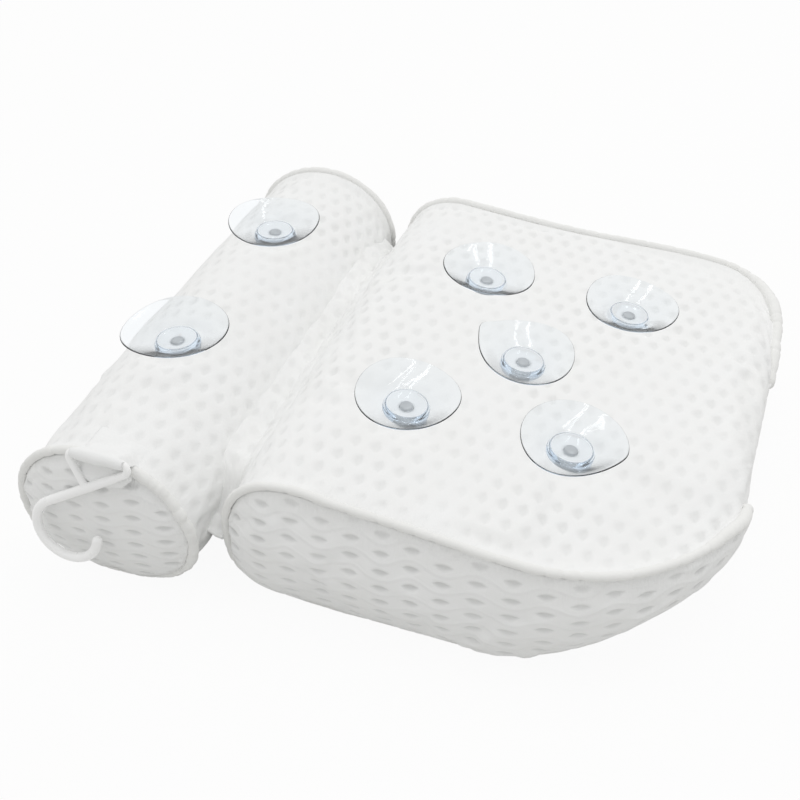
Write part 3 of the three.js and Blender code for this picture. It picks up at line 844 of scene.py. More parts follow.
class Dressing:
    """A cushion's fine surface: dimples, gathers along the seams, and holes for the cups' stems."""

    def __init__(self, cushion):
        self.cushion = cushion
        rings, around = LENGTH_STEPS + 3, 2 * cushion.half_steps
        coarse = cushion.stuffed()
        _, near, far = cushion.grids(rings, around)
        cover = coarse[:rings * around].reshape(rings, around, 3)
        self.cover = finer(finer(cover, 1, True), 0, False)
        self.near = self.panel(coarse[near], self.cover[0])
        self.far = self.panel(coarse[far[:, ::-1]], self.cover[-1])

    @staticmethod
    def panel(coarse, seam):
        """Fine grid of a panel whose edges lie on the seam."""
        grid = finer(finer(coarse, 1, False), 0, False)
        lay_edges(grid, seam)
        return grid

    def dress_cover(self):
        """Dimples and gathers the cover; gives its lattice, pits' strength and nearness to a seam."""
        cushion = self.cushion
        grid = self.cover
        x, y, z = np.moveaxis(grid, -1, 0)
        outline = finer(np.pad(cushion.outline, ((0, 0), (0, 1))), 0, True)
        along = lengths(looped(outline))
        cells = round(along[-1] / COVER_STEP)
        shift_a, shift_b = warp(grid)
        a = along[:-1] / along[-1] * cells + shift_a
        b = y / COVER_ROW + shift_b
        ends = [cushion.wall(x, side)[0] - side * (y - cushion.shift) for side in (-1, 1)]
        from_seam = np.minimum(*ends).clip(0)
        free = ease((from_seam - SEAM_PLAIN) / SEAM_PLAIN_FADE)
        for _, distance in cushion.from_seats(grid):
            free *= ease((distance - SEAT_RADIUS + SEAT_OVERLAP) / SEAT_FADE)
        flat = x / UNEVEN_SPAN + z / UNEVEN_RISE_SPAN
        uneven = (1 + COVER_UNEVEN * strength_noise(flat, y / UNEVEN_SPAN)) * free
        normals = grid_normals(grid, True)
        at_hook = ease((ROLL_SHIFT - HOOK_FOLDS_Y - y) / HOOK_FOLDS_FADE) * (cushion.hinge_side > 0)
        at_nose = ease((x - NOSE_CREASE_X) / NOSE_CREASE_FADE)
        at_hinge = ease(2 * normals[..., 0] * cushion.hinge_side)
        near_seam = np.exp(-from_seam / SEAM_FADE)
        gather = gather_noise(x / GATHER_SPAN, z / GATHER_SPAN + y / GATHER_LENGTH) * near_seam
        rise = gather * (GATHER + GATHER_AT_HOOK * at_hook)
        fold = fold_noise(x / FOLD_SPAN, z / FOLD_SPAN + y / FOLD_LENGTH)
        fold = fold * np.exp(-from_seam / FOLD_FADE)
        rise += fold * (FOLD + FOLD_AT_HOOK * at_hook)
        rise += crease_noise(a * NOSE_CREASES, y / NOSE_CREASE_LENGTH) * NOSE_CREASE * at_nose
        hinge_crease = crease_noise(y / HINGE_CREASE_SPAN + 60, a * HINGE_CREASES)
        rise += hinge_crease * HINGE_CREASE * at_hinge
        rise += lump_noise((x + z) / COVER_LUMP_SPANS[0], y / COVER_LUMP_SPANS[1]) * COVER_LUMP
        hollow = dimples(a, b, COVER_DIMPLE_LENGTH, COVER_DIMPLE_WIDER) * COVER_DIMPLE * uneven
        grid += normals * (rise * free - hollow)[..., None]
        grid[..., 2] = np.maximum(grid[..., 2], 0)
        a = np.concatenate([a, a[:, :1] + cells], 1)
        b = np.concatenate([b, b[:, :1]], 1)
        return np.stack([a, b], -1), COVER_PIT * uneven, near_seam

    def dress_panel(self, grid, side):
        """Dimples and gathers a panel; gives its lattice, pits' strength and nearness to a seam."""
        along = lengths(grid.mean(0))
        x, z = grid[..., 0], grid[..., 2]
        shift_a, shift_b = warp(grid)
        a = z / PANEL_STEP + shift_a
        b = along[None, :] / PANEL_ROW + shift_b
        edge = np.minimum(z - z[:1], z[-1:] - z)
        edge = np.minimum(edge, np.minimum(along, along[-1] - along)[None, :])
        free = ease(edge / PANEL_FADE)
        uneven = (1 + PANEL_UNEVEN * strength_noise(x / UNEVEN_SPAN, z / UNEVEN_SPAN + 40)) * free
        gather = gather_noise(x / PANEL_GATHER_SPAN + 50, z / PANEL_GATHER_SPAN) * PANEL_GATHER
        rise = gather * np.exp(-edge / PANEL_GATHER_FADE) * ease(edge / PANEL_GATHER_START)
        lump = lump_noise(x / PANEL_LUMP_SPANS[0] + 20, z / PANEL_LUMP_SPANS[1])
        rise += lump * PANEL_LUMP * free
        rise -= PANEL_DIMPLE * uneven * dimples(a, b, PANEL_DIMPLE_LENGTH)
        normals = grid_normals(grid, False) * -side
        inside = (slice(1, -1), slice(1, -1))
        grid[inside] += (normals * rise[..., None])[inside]
        return np.stack([a, b], -1), PANEL_PIT * uneven, np.exp(-edge / SEAM_FADE)

    def round_off_holes(self):
        """Moves the cover round each cup onto circles; gives the middles of the blocks to cut out."""
        middles = []
        span = np.arange(-HOLE_EASE_CELLS, HOLE_EASE_CELLS + 1)
        cells = np.maximum(abs(span)[:, None], abs(span)[None, :])
        pull = 1 - ease((cells - HOLE_CELLS) / (HOLE_EASE_CELLS - HOLE_CELLS))
        around = self.cover.shape[1]
        for out, distance in self.cushion.from_seats(self.cover):
            row, column = np.unravel_index(distance.argmin(), distance.shape)
            block = (row + span)[:, None], ((column + span) % around)[None, :]
            spacing = distance[row, (column + HOLE_EASE_CELLS) % around] / HOLE_EASE_CELLS
            radius = HOLE_RADIUS + (cells - HOLE_CELLS).clip(0) * spacing
            self.cover[block] += (unit(out[block]) * radius[..., None] - out[block]) * pull[..., None]
            middles.append((row, column))
        return middles

    def build(self):
        """The cushion as one closed object."""
        cushion = self.cushion
        lattices, strengths, seams = zip(
            self.dress_cover(), self.dress_panel(self.near, -1), self.dress_panel(self.far, 1),
        )
        holes = self.round_off_holes()
        rings, around = self.cover.shape[:2]
        ids = cushion.grids(rings, around)
        inside = [grid[1:-1, 1:-1].reshape(-1, 3) for grid in (self.near, self.far)]
        points = np.concatenate([self.cover.reshape(-1, 3), *inside])
        quads = [grid_quads(*grid.shape) for grid in ids]
        keep = np.ones((rings - 1, around), bool)
        span = np.arange(-HOLE_CELLS, HOLE_CELLS)
        for row, column in holes:
            keep[(row + span)[:, None], ((column + span) % around)[None, :]] = False
        quads[0] = quads[0][keep.ravel()]
        faces, corners = [], []
        for grid, places, cells in zip(ids, (*lattices[:2], lattices[2][:, ::-1]), quads):
            flat = places.reshape(-1, 2)
            for face, cell in zip(grid.ravel()[cells].tolist(), cells.tolist()):
                kept = [i for i, vertex in enumerate(face) if vertex not in face[:i]]
                faces.append([face[i] for i in kept])
                corners.extend(flat[cell[i]] for i in kept)
        on_panel = np.arange(len(points)) >= rings * around
        for hole, seat in zip(holes, cushion.seats):
            rim_points, rim_faces = self.pocket(hole, seat, points)
            points = np.concatenate([points, rim_points])
            faces.extend(rim_faces)
        obj = new_object(cushion.name, points, faces)
        weave_map(obj, corners)
        for name, values in (("pit", strengths), ("seam", seams)):
            on_panels = [grid[1:-1, 1:-1].ravel() for grid in values[1:]]
            point_attribute(obj, name, np.concatenate([values[0].ravel(), *on_panels]))
        point_attribute(obj, "panel", on_panel)
        return obj

    def pocket(self, hole, seat, points):
        """New points and faces of a keyhole below a cup's hole, for its stud and retainer."""
        place, axis = seat
        around = self.cover.shape[1]
        side = np.arange(-HOLE_CELLS, HOLE_CELLS)
        low, high = np.full(len(side), -HOLE_CELLS), np.full(len(side), HOLE_CELLS)
        rows = hole[0] + np.concatenate([low, side, high, side[::-1] + 1])
        columns = hole[1] + np.concatenate([side, high, side[::-1] + 1, low])
        rim = rows * around + columns % around
        away = points[rim] - place
        out = unit(away - (away @ axis)[:, None] * axis)
        steps = [(HOLE_RADIUS, POCKET_TOP), (POCKET_RADIUS, POCKET_TOP), (POCKET_RADIUS, POCKET_FLOOR)]
        rings = [place + out * radius + axis * level for radius, level in steps]
        new = np.concatenate([*rings, [place + axis * POCKET_FLOOR]])
        ids = np.concatenate([[looped(rim)], len(points) + ring_ids(len(steps), len(rim))])
        centre = len(points) + len(new) - 1
        fan = [[*pair, centre] for pair in zip(ids[-1].tolist(), ids[-1, 1:].tolist())]
        return new, quads_of(ids).tolist() + fan


# Piping


def piping_path(cushion, side):
    """Centre line of the piping round one end, and how far each of its points is on the underside."""
    under = ease((-cushion.normals[:, 1] - CORD_UNDER_START) / CORD_UNDER_FADE)
    flat = cushion.section(1, CORD_SINK * under - CORD_STAND_OUT)
    line = cushion.placed(flat, side, CORD_OFFSET - CORD_SINK * under)
    line[:, 0] = np.minimum(line[:, 0], CORD_END_X[side])
    line = looped(np.column_stack([line, under]))
    path = resample(line, int(lengths(line)[-1]) + 1)[:-1]
    for _ in range(CORD_SMOOTHING):
        path = (np.roll(path, 1, 0) + 2 * path + np.roll(path, -1, 0)) / 4
    return path[:, :3], path[:, 3]


def piping(name, cushion, side, seed):
    """Cord-filled piping with the pinches of its stitches, most wrinkled beside the hook."""
    path, under = piping_path(cushion, side)
    along = lengths(looped(path))[:-1]
    noise = Noise(seed)
    beat = along / STITCH_STEP + STITCH_SHIFT * noise(along / STITCH_SHIFT_SPAN, 3)
    pinch = np.exp(-((beat % 1 - 0.5) / STITCH_PINCH_SPAN) ** 2)
    pinch *= (STITCH_EVEN + (1 - STITCH_EVEN) * noise(np.floor(beat), 8.5)).clip(0)
    beside_hook = ease((path[:, 0] - ROLL_X - CORD_WRINKLE_X) / CORD_WRINKLE_FADE)
    beside_hook = beside_hook * (cushion.hinge_side > 0 and side < 0)
    at_nose = ease((path[:, 0] - CORD_NOSE_X) / CORD_NOSE_FADE)
    rough = 1 + CORD_WRINKLE * beside_hook
    wobble = sum(CORD_WOBBLE * noise(along / span, row) for row, span in CORD_WOBBLE_ROWS.items()) * rough
    thick = 1 + CORD_THICKER_AT_HOOK * beside_hook + CORD_THICKER_AT_NOSE * at_nose
    thick = thick * (1 - (1 - CORD_UNDER_SHARE) * under)
    radii = CORD_RADIUS * (1 + wobble - STITCH_PINCH * pinch) * thick
    drift = np.stack([noise(along / CORD_DRIFT_SPAN, row) for row in (20, 30, 40)], 1) * CORD_DRIFT
    return new_object(name, *tube(path + drift * rough[:, None], radii, CORD_SIDES, True))


# Suction cups


def cup_flare(start, end, sag):
    """Sagging line of a cup's flare in radius and height."""
    start, end = np.array(start), np.array(end)
    share = np.linspace(0, 1, CUP_FLARE_STEPS)[:, None]
    return start + (end - start) * share - (0, sag) * (4 * share * (1 - share))


def cup_profile():
    """Outline of a cup in radius and height, from its underside round the rim to its dish."""
    outer_end = (CUP_RADIUS, CUP_HEIGHT - CUP_RIM_THICKNESS)
    inner_start = (CUP_RADIUS - CUP_RIM_LIP, CUP_HEIGHT)
    inner_end = (CUP_WAIST_RADIUS, CUP_FLOOR_HEIGHT + CUP_CLEARANCE)
    outer = cup_flare((CUP_WAIST_RADIUS, CUP_WAIST_HEIGHT), outer_end, CUP_OUTER_SAG)
    inner = cup_flare(inner_start, inner_end, CUP_INNER_SAG)
    rim = np.mean([outer_end, inner_start], 0) + CUP_RIM_ROUND
    foot = [
        (CUP_MIDDLE, CUP_CLEARANCE),
        (STUD_RADIUS, CUP_CLEARANCE),
        (CUP_HUB_RADIUS - CUP_FOOT_ROUND, CUP_CLEARANCE),
        (CUP_HUB_RADIUS, CUP_CLEARANCE + CUP_FOOT_ROUND),
        (CUP_HUB_RADIUS, CUP_HUB_HEIGHT - CUP_HUB_ROUND),
        (CUP_HUB_RADIUS - CUP_HUB_ROUND, CUP_HUB_HEIGHT),
    ]
    waist = np.array([CUP_WAIST_RADIUS, CUP_HUB_HEIGHT]) + CUP_WAIST_ROUND
    dish = np.array([CUP_WAIST_RADIUS, CUP_FLOOR_HEIGHT]) + CUP_DISH_FLOOR
    return np.array([*foot, *waist, *outer, *rim, *inner, *dish, (CUP_MIDDLE, CUP_FLOOR_HEIGHT)])


def turned(name, profile, place, axis, bend=lambda radius, height, angle: (radius, height)):
    """An object turned about an axis, with closed ends. bend moves (radius, height) by angle."""
    first = unit(np.array([axis[2], 0.0, -axis[0]]))
    second = np.cross(axis, first)
    angle = np.linspace(0, 2 * math.pi, CUP_SEGMENTS, endpoint=False)
    radius, height = bend(profile[:, :1], profile[:, 1:], angle)
    points = (
        place
        + (radius * np.cos(angle))[..., None] * first
        + (radius * np.sin(angle))[..., None] * second
        + height[..., None] * axis
    )
    ids = ring_ids(len(profile), CUP_SEGMENTS)
    faces = quads_of(ids).tolist()
    low_end = len(profile) * CUP_SEGMENTS
    ends = [place + axis * profile[0, 1], place + axis * profile[-1, 1]]
    for i in range(CUP_SEGMENTS):
        faces.append([ids[0, i + 1], ids[0, i], low_end])
        faces.append([ids[-1, i], ids[-1, i + 1], low_end + 1])
    return new_object(name, np.concatenate([points.reshape(-1, 3), ends]), faces)


# Each cup's own bend: how far its rim dips twice and three times round, where, and a pulled corner
CUP_BENDS = {
    1: dict(twice=1.0, twice_at=10, thrice=0.3, thrice_at=40, spread=1.05),
    2: dict(twice=1.3, twice_at=100, thrice=0.4, thrice_at=0, spread=1.05),
    3: dict(twice=0.9, twice_at=80, thrice=0.3, thrice_at=70, corner=0.6, corner_at=40),
    4: dict(twice=1.2, twice_at=150, thrice=0.5, thrice_at=20),
    5: dict(twice=1.5, twice_at=150, thrice=0.3, thrice_at=10),
    6: dict(twice=1.9, twice_at=145, thrice=0.5, thrice_at=80, corner=0.8, corner_at=-10),
    7: dict(twice=1.6, twice_at=20, thrice=0.7, thrice_at=50, corner=2.4, corner_at=165),
}


def cup_bend(twice, twice_at, thrice, thrice_at, corner=0.0, corner_at=0, spread=1.0):
    """A bend of the soft rim that leaves the hub alone."""

    def bend(radius, height, angle):
        reach = ease((radius - CUP_WAIST_RADIUS) / (CUP_RADIUS - CUP_WAIST_RADIUS))
        reach = reach ** CUP_BEND_POWER
        away = (angle - math.radians(corner_at) + math.pi) % (2 * math.pi) - math.pi
        point = np.exp(-(away / CUP_CORNER_SPAN) ** 2)
        lift = twice * np.cos(2 * (angle - math.radians(twice_at)))
        lift = lift + thrice * np.cos(3 * (angle - math.radians(thrice_at)))
        lift = lift + CUP_CORNER_LIFT * corner * point
        wide = 1 + CUP_OVAL * reach * np.cos(2 * (angle - math.radians(twice_at + 90))) * twice
        wide = wide * (1 + (spread - 1) * reach)
        return radius * wide + corner * point * reach, height + lift * reach

    return bend


def stud_profile():
    """Outline of the stud in a cup's hub, with the knob that holds the retainer."""
    knob_low = STUD_KNOB_TOP - STUD_KNOB_HEIGHT
    return np.array([
        (CUP_MIDDLE, knob_low),
        (STUD_KNOB_RADIUS - STUD_KNOB_ROUND, knob_low),
        (STUD_KNOB_RADIUS, knob_low + STUD_KNOB_ROUND),
        (STUD_KNOB_RADIUS, STUD_KNOB_TOP),
        (STUD_RADIUS, STUD_KNOB_TOP + STUD_KNOB_RISE),
        (STUD_RADIUS, STUD_TOP - STUD_ROUND),
        (STUD_RADIUS - STUD_ROUND, STUD_TOP),
        (CUP_MIDDLE, STUD_TOP),
    ])


# Hook and tab


def rod_line(circles, end_angle):
    """Centre line round a chain of circles, a negative radius being turned the other way."""
    runs = [run_angle(*pair) for pair in zip(circles, circles[1:])]
    line = [np.array([circles[0][:2]])]
    for i, (x, z, radius) in enumerate(circles[1:]):
        quarter = math.copysign(math.pi / 2, radius)
        start = runs[i] + quarter
        end = runs[i + 1] + quarter if i + 1 < len(runs) else end_angle
        sweep = (end - start) % (2 * math.pi)
        if radius > 0:
            sweep -= 2 * math.pi
        line.append(arc((x, z), abs(radius), start, start + sweep))
    return np.concatenate(line)


def hook_path():
    """The rod's centre line from the bar's middle, leaning out: junction, eye, shank and bowl."""
    corner = HOOK_BAR_LENGTH / 2 - HOOK_CORNER_RADIUS
    right = (corner, -HOOK_CORNER_RADIUS, HOOK_CORNER_RADIUS)
    left = (-corner, -HOOK_CORNER_RADIUS, HOOK_CORNER_RADIUS)
    bowl = (HOOK_BOWL_X, -HOOK_BOWL_DROP, -HOOK_BOWL_RADIUS)
    slope = run_angle(right, bowl)
    shank_x = right[0] - right[2] * math.sin(slope)
    shank_z = right[1] + right[2] * math.cos(slope)
    junction = (HOOK_JUNCTION_X, shank_z + (HOOK_JUNCTION_X - shank_x) * math.tan(slope), 0)
    flat = rod_line([junction, left, right, bowl], math.radians(HOOK_TIP_ANGLE))
    path = resample(flat, int(lengths(flat)[-1] / ROD_STEP))
    lean = math.radians(HOOK_LEAN)
    return np.stack([path[:, 0], path[:, 1] * math.sin(lean), path[:, 1] * math.cos(lean)], 1)


def hook_rod(place):
    """The rod, thicker past its eye, with the eye grown together at the junction and a round tip."""
    path = place + hook_path()
    along = lengths(path)
    to_tip = along[-1] - along
    tip = np.sqrt(1 - (1 - np.clip(to_tip / SHANK_RADIUS, ROD_TIP_LEAST, 1)) ** 2)
    past_eye = ease((along - along[path[:, 0].argmax()]) / SHANK_SWELL)
    radii = (ROD_RADIUS + (SHANK_RADIUS - ROD_RADIUS) * past_eye) * tip
    obj = new_object("hook_rod", *tube(path, radii, ROD_SIDES, False))
    remesh = obj.modifiers.new("grown_together", "REMESH")
    remesh.mode = "VOXEL"
    remesh.voxel_size = ROD_VOXEL * MM
    obj.modifiers.new("even", "SMOOTH").iterations = ROD_SMOOTHING
    mesh = bpy.data.meshes.new_from_object(obj.evaluated_get(bpy.context.evaluated_depsgraph_get()))
    obj.modifiers.clear()
    obj.data = mesh
    mesh.shade_smooth()
    return obj


def strip(name, middle, across, thickness):
    """A sheet with a thickness, from a grid of points and the direction through it at each."""
    rows, columns = middle.shape[:2]
    half = across * thickness[..., None] / 2
    count = rows * columns
    points = np.concatenate([(middle + half).reshape(-1, 3), (middle - half).reshape(-1, 3)])
    ids = np.arange(count).reshape(rows, columns)
    quads = grid_quads(rows, columns)
    faces = quads.tolist() + (quads[:, ::-1] + count).tolist()
    edge = np.concatenate([ids[0, :-1], ids[:-1, -1], ids[-1, :0:-1], ids[:0:-1, 0]])
    faces += np.stack([edge, edge + count, np.roll(edge, -1) + count, np.roll(edge, -1)], 1).tolist()
    return new_object(name, points, faces)


def mean_width(middle):
    """Mean length of a sheet's rows, measured along the cloth."""
    return float(np.linalg.norm(np.diff(middle, axis=1), axis=2).sum(1).mean())


def thinned(from_edge):
    """Share of a sheet's thickness, from its sewn edge at 0 to the whole of it at 1."""
    return 1 - SHEET_EDGE_THINNER + SHEET_EDGE_THINNER * from_edge


def corners_cut(line):
    """A line with its corners cut off, its ends kept."""
    early = 0.75 * line[:-1] + 0.25 * line[1:]
    late = 0.25 * line[:-1] + 0.75 * line[1:]
    inner = np.stack([early, late], 1).reshape(-1, line.shape[1])
    return np.concatenate([line[:1], inner, line[-1:]])


def tab_line(place, level, panel_y, piping_y):
    """The tab's section in YZ: off the roll's crown over the piping, round the bar and down."""
    bar_y, bar_z = place[1:]
    seam_y = ROLL_SHIFT - ROLL_LENGTH / 2
    piping_z = ROLL_Z + ROLL_HEIGHT / 2 + PIPING_STAND_OUT
    clear = TAB_CLEARANCE + TAB_THICKNESS / 2
    wrap = ROD_RADIUS + clear
    line = []
    for share, lift in TAB_TAIL_LIFTS.items():
        y = seam_y + TAB_TAIL * share
        line.append((y, float(level(y)) + lift))
    line.append((piping_y, piping_z + PIPING_RADIUS + clear))
    for angle in np.radians(TAB_WRAP_ANGLES):
        line.append((bar_y + wrap * math.cos(angle), bar_z + wrap * math.sin(angle)))
    for drop in np.linspace(TAB_DROP_START, TAB_DROP, TAB_DROP_STEPS):
        z = bar_z - wrap - drop
        line.append((panel_y(z) - clear - TAB_HANG_CLEARANCE, z))
    line = np.array(line)
    for _ in range(TAB_CORNER_CUTS):
        line = corners_cut(line)
    return resample(line, TAB_ROWS)


def hook_tab(place, cover, panel):
    """The folded tab: its tail lies in the cover, and its hanging end is rounded."""
    middle_x = place[0] + TAB_OFFSET_X
    piping_y = ROLL_SHIFT - ROLL_LENGTH / 2 - PIPING_OFFSET
    behind_bar = panel[np.abs(panel[..., 0] - place[0]) < TAB_PANEL_REACH]
    crown = cover[(cover[..., 2] > ROLL_Z) & (np.abs(cover[..., 0] - middle_x) < TAB_CROWN_REACH)]
    crown = crown[crown[:, 1] < place[1] + TAB_TAIL + TAB_CROWN_BEYOND]

    def panel_y(z):
        return behind_bar[np.abs(behind_bar[:, 2] - z) < TAB_PANEL_SPAN, 1].min()

    def level(x, y):
        dx = np.asarray(x)[..., None] - crown[:, 0]
        dy = np.asarray(y)[..., None] - crown[:, 1]
        weight = np.exp(-(dx ** 2 + dy ** 2) / (2 * TAB_LEVEL_SPAN ** 2))
        return (weight * crown[:, 2]).sum(-1) / weight.sum(-1)

    line = tab_line(place, lambda y: level(middle_x, y), panel_y, piping_y)
    along = lengths(line)
    share = along / along[-1]
    at_piping = share[np.argmin(np.abs(line[:TAB_ROWS // 3, 0] - piping_y))]
    side = np.linspace(-1, 1, TAB_COLUMNS)
    round_off = 1 - ((share - 1 + TAB_ROUND) / TAB_ROUND).clip(0) ** TAB_ROUND_POWER
    round_off = np.sqrt(np.clip(round_off, TAB_ROUND_LEAST, 1))
    half = TAB_WIDTH / 2 * (TAB_HEM + TAB_TAIL_WIDER * ease(1 - share / at_piping)) * round_off
    x = middle_x + side[None, :] * half[:, None]
    y = np.repeat(line[:, :1], TAB_COLUMNS, 1)
    edge = over_last(abs(side), TAB_EDGE)[None, :]
    past_start = share[:, None] / at_piping - TAB_FREE_START - TAB_EDGE_LATER * edge
    free = ease(past_start / (TAB_FREE_SPAN - TAB_EDGE_FASTER * edge))
    lift = line[:, 1:] - level(np.full(len(line), middle_x), line[:, 0])[:, None]
    laid = level(x, y) + lift * (1 - edge) - TAB_TILT * edge * side
    over_bar = ease((piping_y + TAB_DROOP_START - y) / TAB_DROOP_START_FADE)
    over_bar = over_bar * ease((y - place[1] + TAB_DROOP_END) / TAB_DROOP_END_FADE)
    droop = TAB_DROOP * over_last(abs(side), TAB_DROOP_EDGE)
    droop = droop + TAB_DROOP_RIGHT * over_last(side, TAB_DROOP_RIGHT_EDGE)
    middle = np.stack([x, y, laid + (line[:, 1:] - laid) * free - over_bar * droop], -1)
    ahead = unit(np.gradient(line, axis=0))
    across = np.stack([np.zeros(len(line)), -ahead[:, 1], ahead[:, 0]], -1)
    across = np.repeat(across[:, None], TAB_COLUMNS, 1)
    folds = share[:, None] * TAB_PUFF_COUNTS[0], side[None, :] * TAB_PUFF_COUNTS[1]
    puff = TAB_PUFF + TAB_PUFF * Noise(31)(*folds)
    middle -= across * (puff * (1 - edge) * ease(share * 5)[:, None])[..., None]
    thin = 1 - TAB_EDGE_THINNER + TAB_EDGE_THINNER * ease((1 - abs(side)) * 8)
    thickness = TAB_THICKNESS * thinned(ease(share * 9))[:, None] * thin
    return strip("hook_tab_fold", middle, across, thickness), (mean_width(middle), float(along[-1]))


# Web between the cushions


def flank(cover, columns, y, z):
    """How far a cover's flank reaches along X, at places along the hinge and their heights."""
    lines = [cover[:, column] for column in columns]
    xs, zs = (np.array([np.interp(y, line[:, 1], line[:, axis]) for line in lines]) for axis in (0, 2))
    return np.array([np.interp(height, zs[:, i], xs[:, i]) for i, height in enumerate(z)])


def hinge_web(pad_cover, roll_cover):
    """A slack gusset that bridges the gap, with crumpled ends that dip into it."""
    reach = np.arange(-WEB_FLANK_BELOW, WEB_FLANK_COLUMNS)
    y = np.linspace(WEB_NEAR_Y, WEB_FAR_Y, WEB_ROWS)
    share = np.linspace(0, 1, WEB_COLUMNS)
    near = ease((WEB_NEAR_Y + WEB_END - y) / WEB_END)
    far = ease((y - WEB_FAR_Y + WEB_END) / WEB_END)
    crumple = Noise(41)
    top = WEB_TOP - WEB_NEAR_DIP * near - WEB_FAR_DIP * far
    top = top + WEB_WAVE * crumple(y / WEB_WAVE_SPAN, 1)
    top = top + WEB_NEAR_WAVE * near * crumple(y / WEB_NEAR_WAVE_SPAN, 5)
    sag = WEB_SAG * (1 + WEB_SAG_UNEVEN * crumple(y / WEB_SAG_SPAN, 9)) * (1 - WEB_SAG_LESS * near)
    valley = WEB_VALLEY + WEB_VALLEY_SWAY * crumple(y / WEB_VALLEY_SPAN, 14)[:, None]
    off_valley = np.maximum(1 - share / valley, (share - valley) / (1 - valley))
    z = top[:, None] - sag[:, None] * (1 - off_valley)
    z = z + crumple(y[:, None] / WEB_LUMP_SPAN, share[None, :] * 7 + 60) * WEB_LUMP
    crinkle = WEB_CRINKLE + WEB_NEAR_CRINKLE * near[:, None]
    z = z + crumple(y[:, None] / WEB_CRINKLE_SPAN, share[None, :] * 3 + 30) * crinkle
    pad_x = flank(pad_cover, reach, y, z)
    roll_x = flank(roll_cover, roll_cover.shape[1] // 2 - reach, y, z)
    x = pad_x[:, :1] + WEB_SUNK + (roll_x[:, -1:] - pad_x[:, :1] - 2 * WEB_SUNK) * share
    from_edge = ease(6 * np.minimum(share, 1 - share))
    clear_by = WEB_CLEARANCE - (WEB_CLEARANCE + WEB_SUNK) * (1 - from_edge)
    x = np.clip(x, roll_x + clear_by, pad_x - clear_by)
    bow = WEB_NEAR_BOW * near[:, None] * crumple(share[None, :] * 5, 20.5)
    middle = np.stack([x, y[:, None] + bow, z], -1)
    thickness = WEB_THICKNESS * np.broadcast_to(thinned(from_edge), z.shape)
    obj = strip("hinge_web", middle, grid_normals(middle, False), thickness)
    width = mean_width(middle)
    shift_a, shift_b = warp(middle)
    lattice = np.stack([share * width / COVER_STEP + shift_a, y[:, None] / COVER_ROW + shift_b], -1)
    lattice = np.concatenate([lattice.reshape(-1, 2)] * 2)
    weave_map(obj, lattice[[v for face in obj.data.polygons for v in face.vertices]])
    point_attribute(obj, "pit", np.full(len(lattice), COVER_PIT))
    length = float(lengths(middle[:, WEB_COLUMNS // 2])[-1])
    return obj, (width, length), (middle[:, 0].mean(0), middle[:, -1].mean(0))


# Materials


class Output:
    """What a node puts out. Operators on it add Math nodes."""

    def __init__(self, nodes, socket):
        self.nodes = nodes
        self.socket = socket

    def math(self, operation, *others):
        return self.nodes.math(operation, self, *others)

    def __add__(self, other):
        return self.math("ADD", other)

    def __sub__(self, other):
        return self.math("SUBTRACT", other)

    def __rsub__(self, other):
        return self.nodes.math("SUBTRACT", other, self)

    def __mul__(self, other):
        return self.math("MULTIPLY", other)

    def __truediv__(self, other):
        return self.math("DIVIDE", other)


class Nodes:
    """A node tree and short ways to add to it."""

    def __init__(self, tree):
        self.tree = tree

    def outputs(self, kind, inputs=(), **settings):
        """Outputs of a new node, by name or number. An Output among the inputs is linked."""
        node = self.tree.nodes.new(kind)
        for setting, content in settings.items():
            setattr(node, setting, content)
        for name, content in dict(inputs).items():
            self.put(content, node.inputs[name])
        return node.outputs

    def put(self, content, socket):
        if isinstance(content, Output):
            self.tree.links.new(content.socket, socket)
        else:
            socket.default_value = content

    def output(self, name, kind, inputs=(), **settings):
        return Output(self, self.outputs(kind, inputs, **settings)[name])

    def math(self, operation, *values):
        return self.output(0, "ShaderNodeMath", enumerate(values), operation=operation)

    def noise(self, scale, detail=2.0, place=None):
        place = place or self.output("Object", "ShaderNodeTexCoord")
        inputs = {"Vector": place, "Scale": scale, "Detail": detail}
        return self.output("Fac", "ShaderNodeTexNoise", inputs)

    def mix(self, share, first, second):
        return self.output(2, "ShaderNodeMix", {0: share, 6: first, 7: second}, data_type="RGBA")

    def seen(self):
        """1 for rays that show the stage, straight or by gloss and glass, and 0 for light."""
        path = self.outputs("ShaderNodeLightPath")
        rays = [Output(self, path[f"Is {kind} Ray"]) for kind in ("Camera", "Glossy", "Transmission")]
        return rays[0].math("MAXIMUM", rays[1]).math("MAXIMUM", rays[2])


class Shader(Nodes):
    """A Principled material."""

    def __init__(self, name, **sockets):
        self.material = bpy.data.materials.new(name)
        self.material.use_nodes = True
        super().__init__(self.material.node_tree)
        self.principled = self.tree.nodes["Principled BSDF"]
        for socket, content in sockets.items():
            self.set(socket.replace("_", " "), content)

    def set(self, name, content):
        self.put(content, self.principled.inputs[name])

    def set_output(self, name, content):
        self.put(content, self.tree.nodes["Material Output"].inputs[name])

    def bump(self, height, distance, strength):
        inputs = {"Height": height, "Distance": distance * MM, "Strength": strength}
        self.set("Normal", self.output("Normal", "ShaderNodeBump", inputs))


CLOTH = dict(Sheen_Weight=0.12, Sheen_Roughness=0.5, Specular_IOR_Level=0.2)


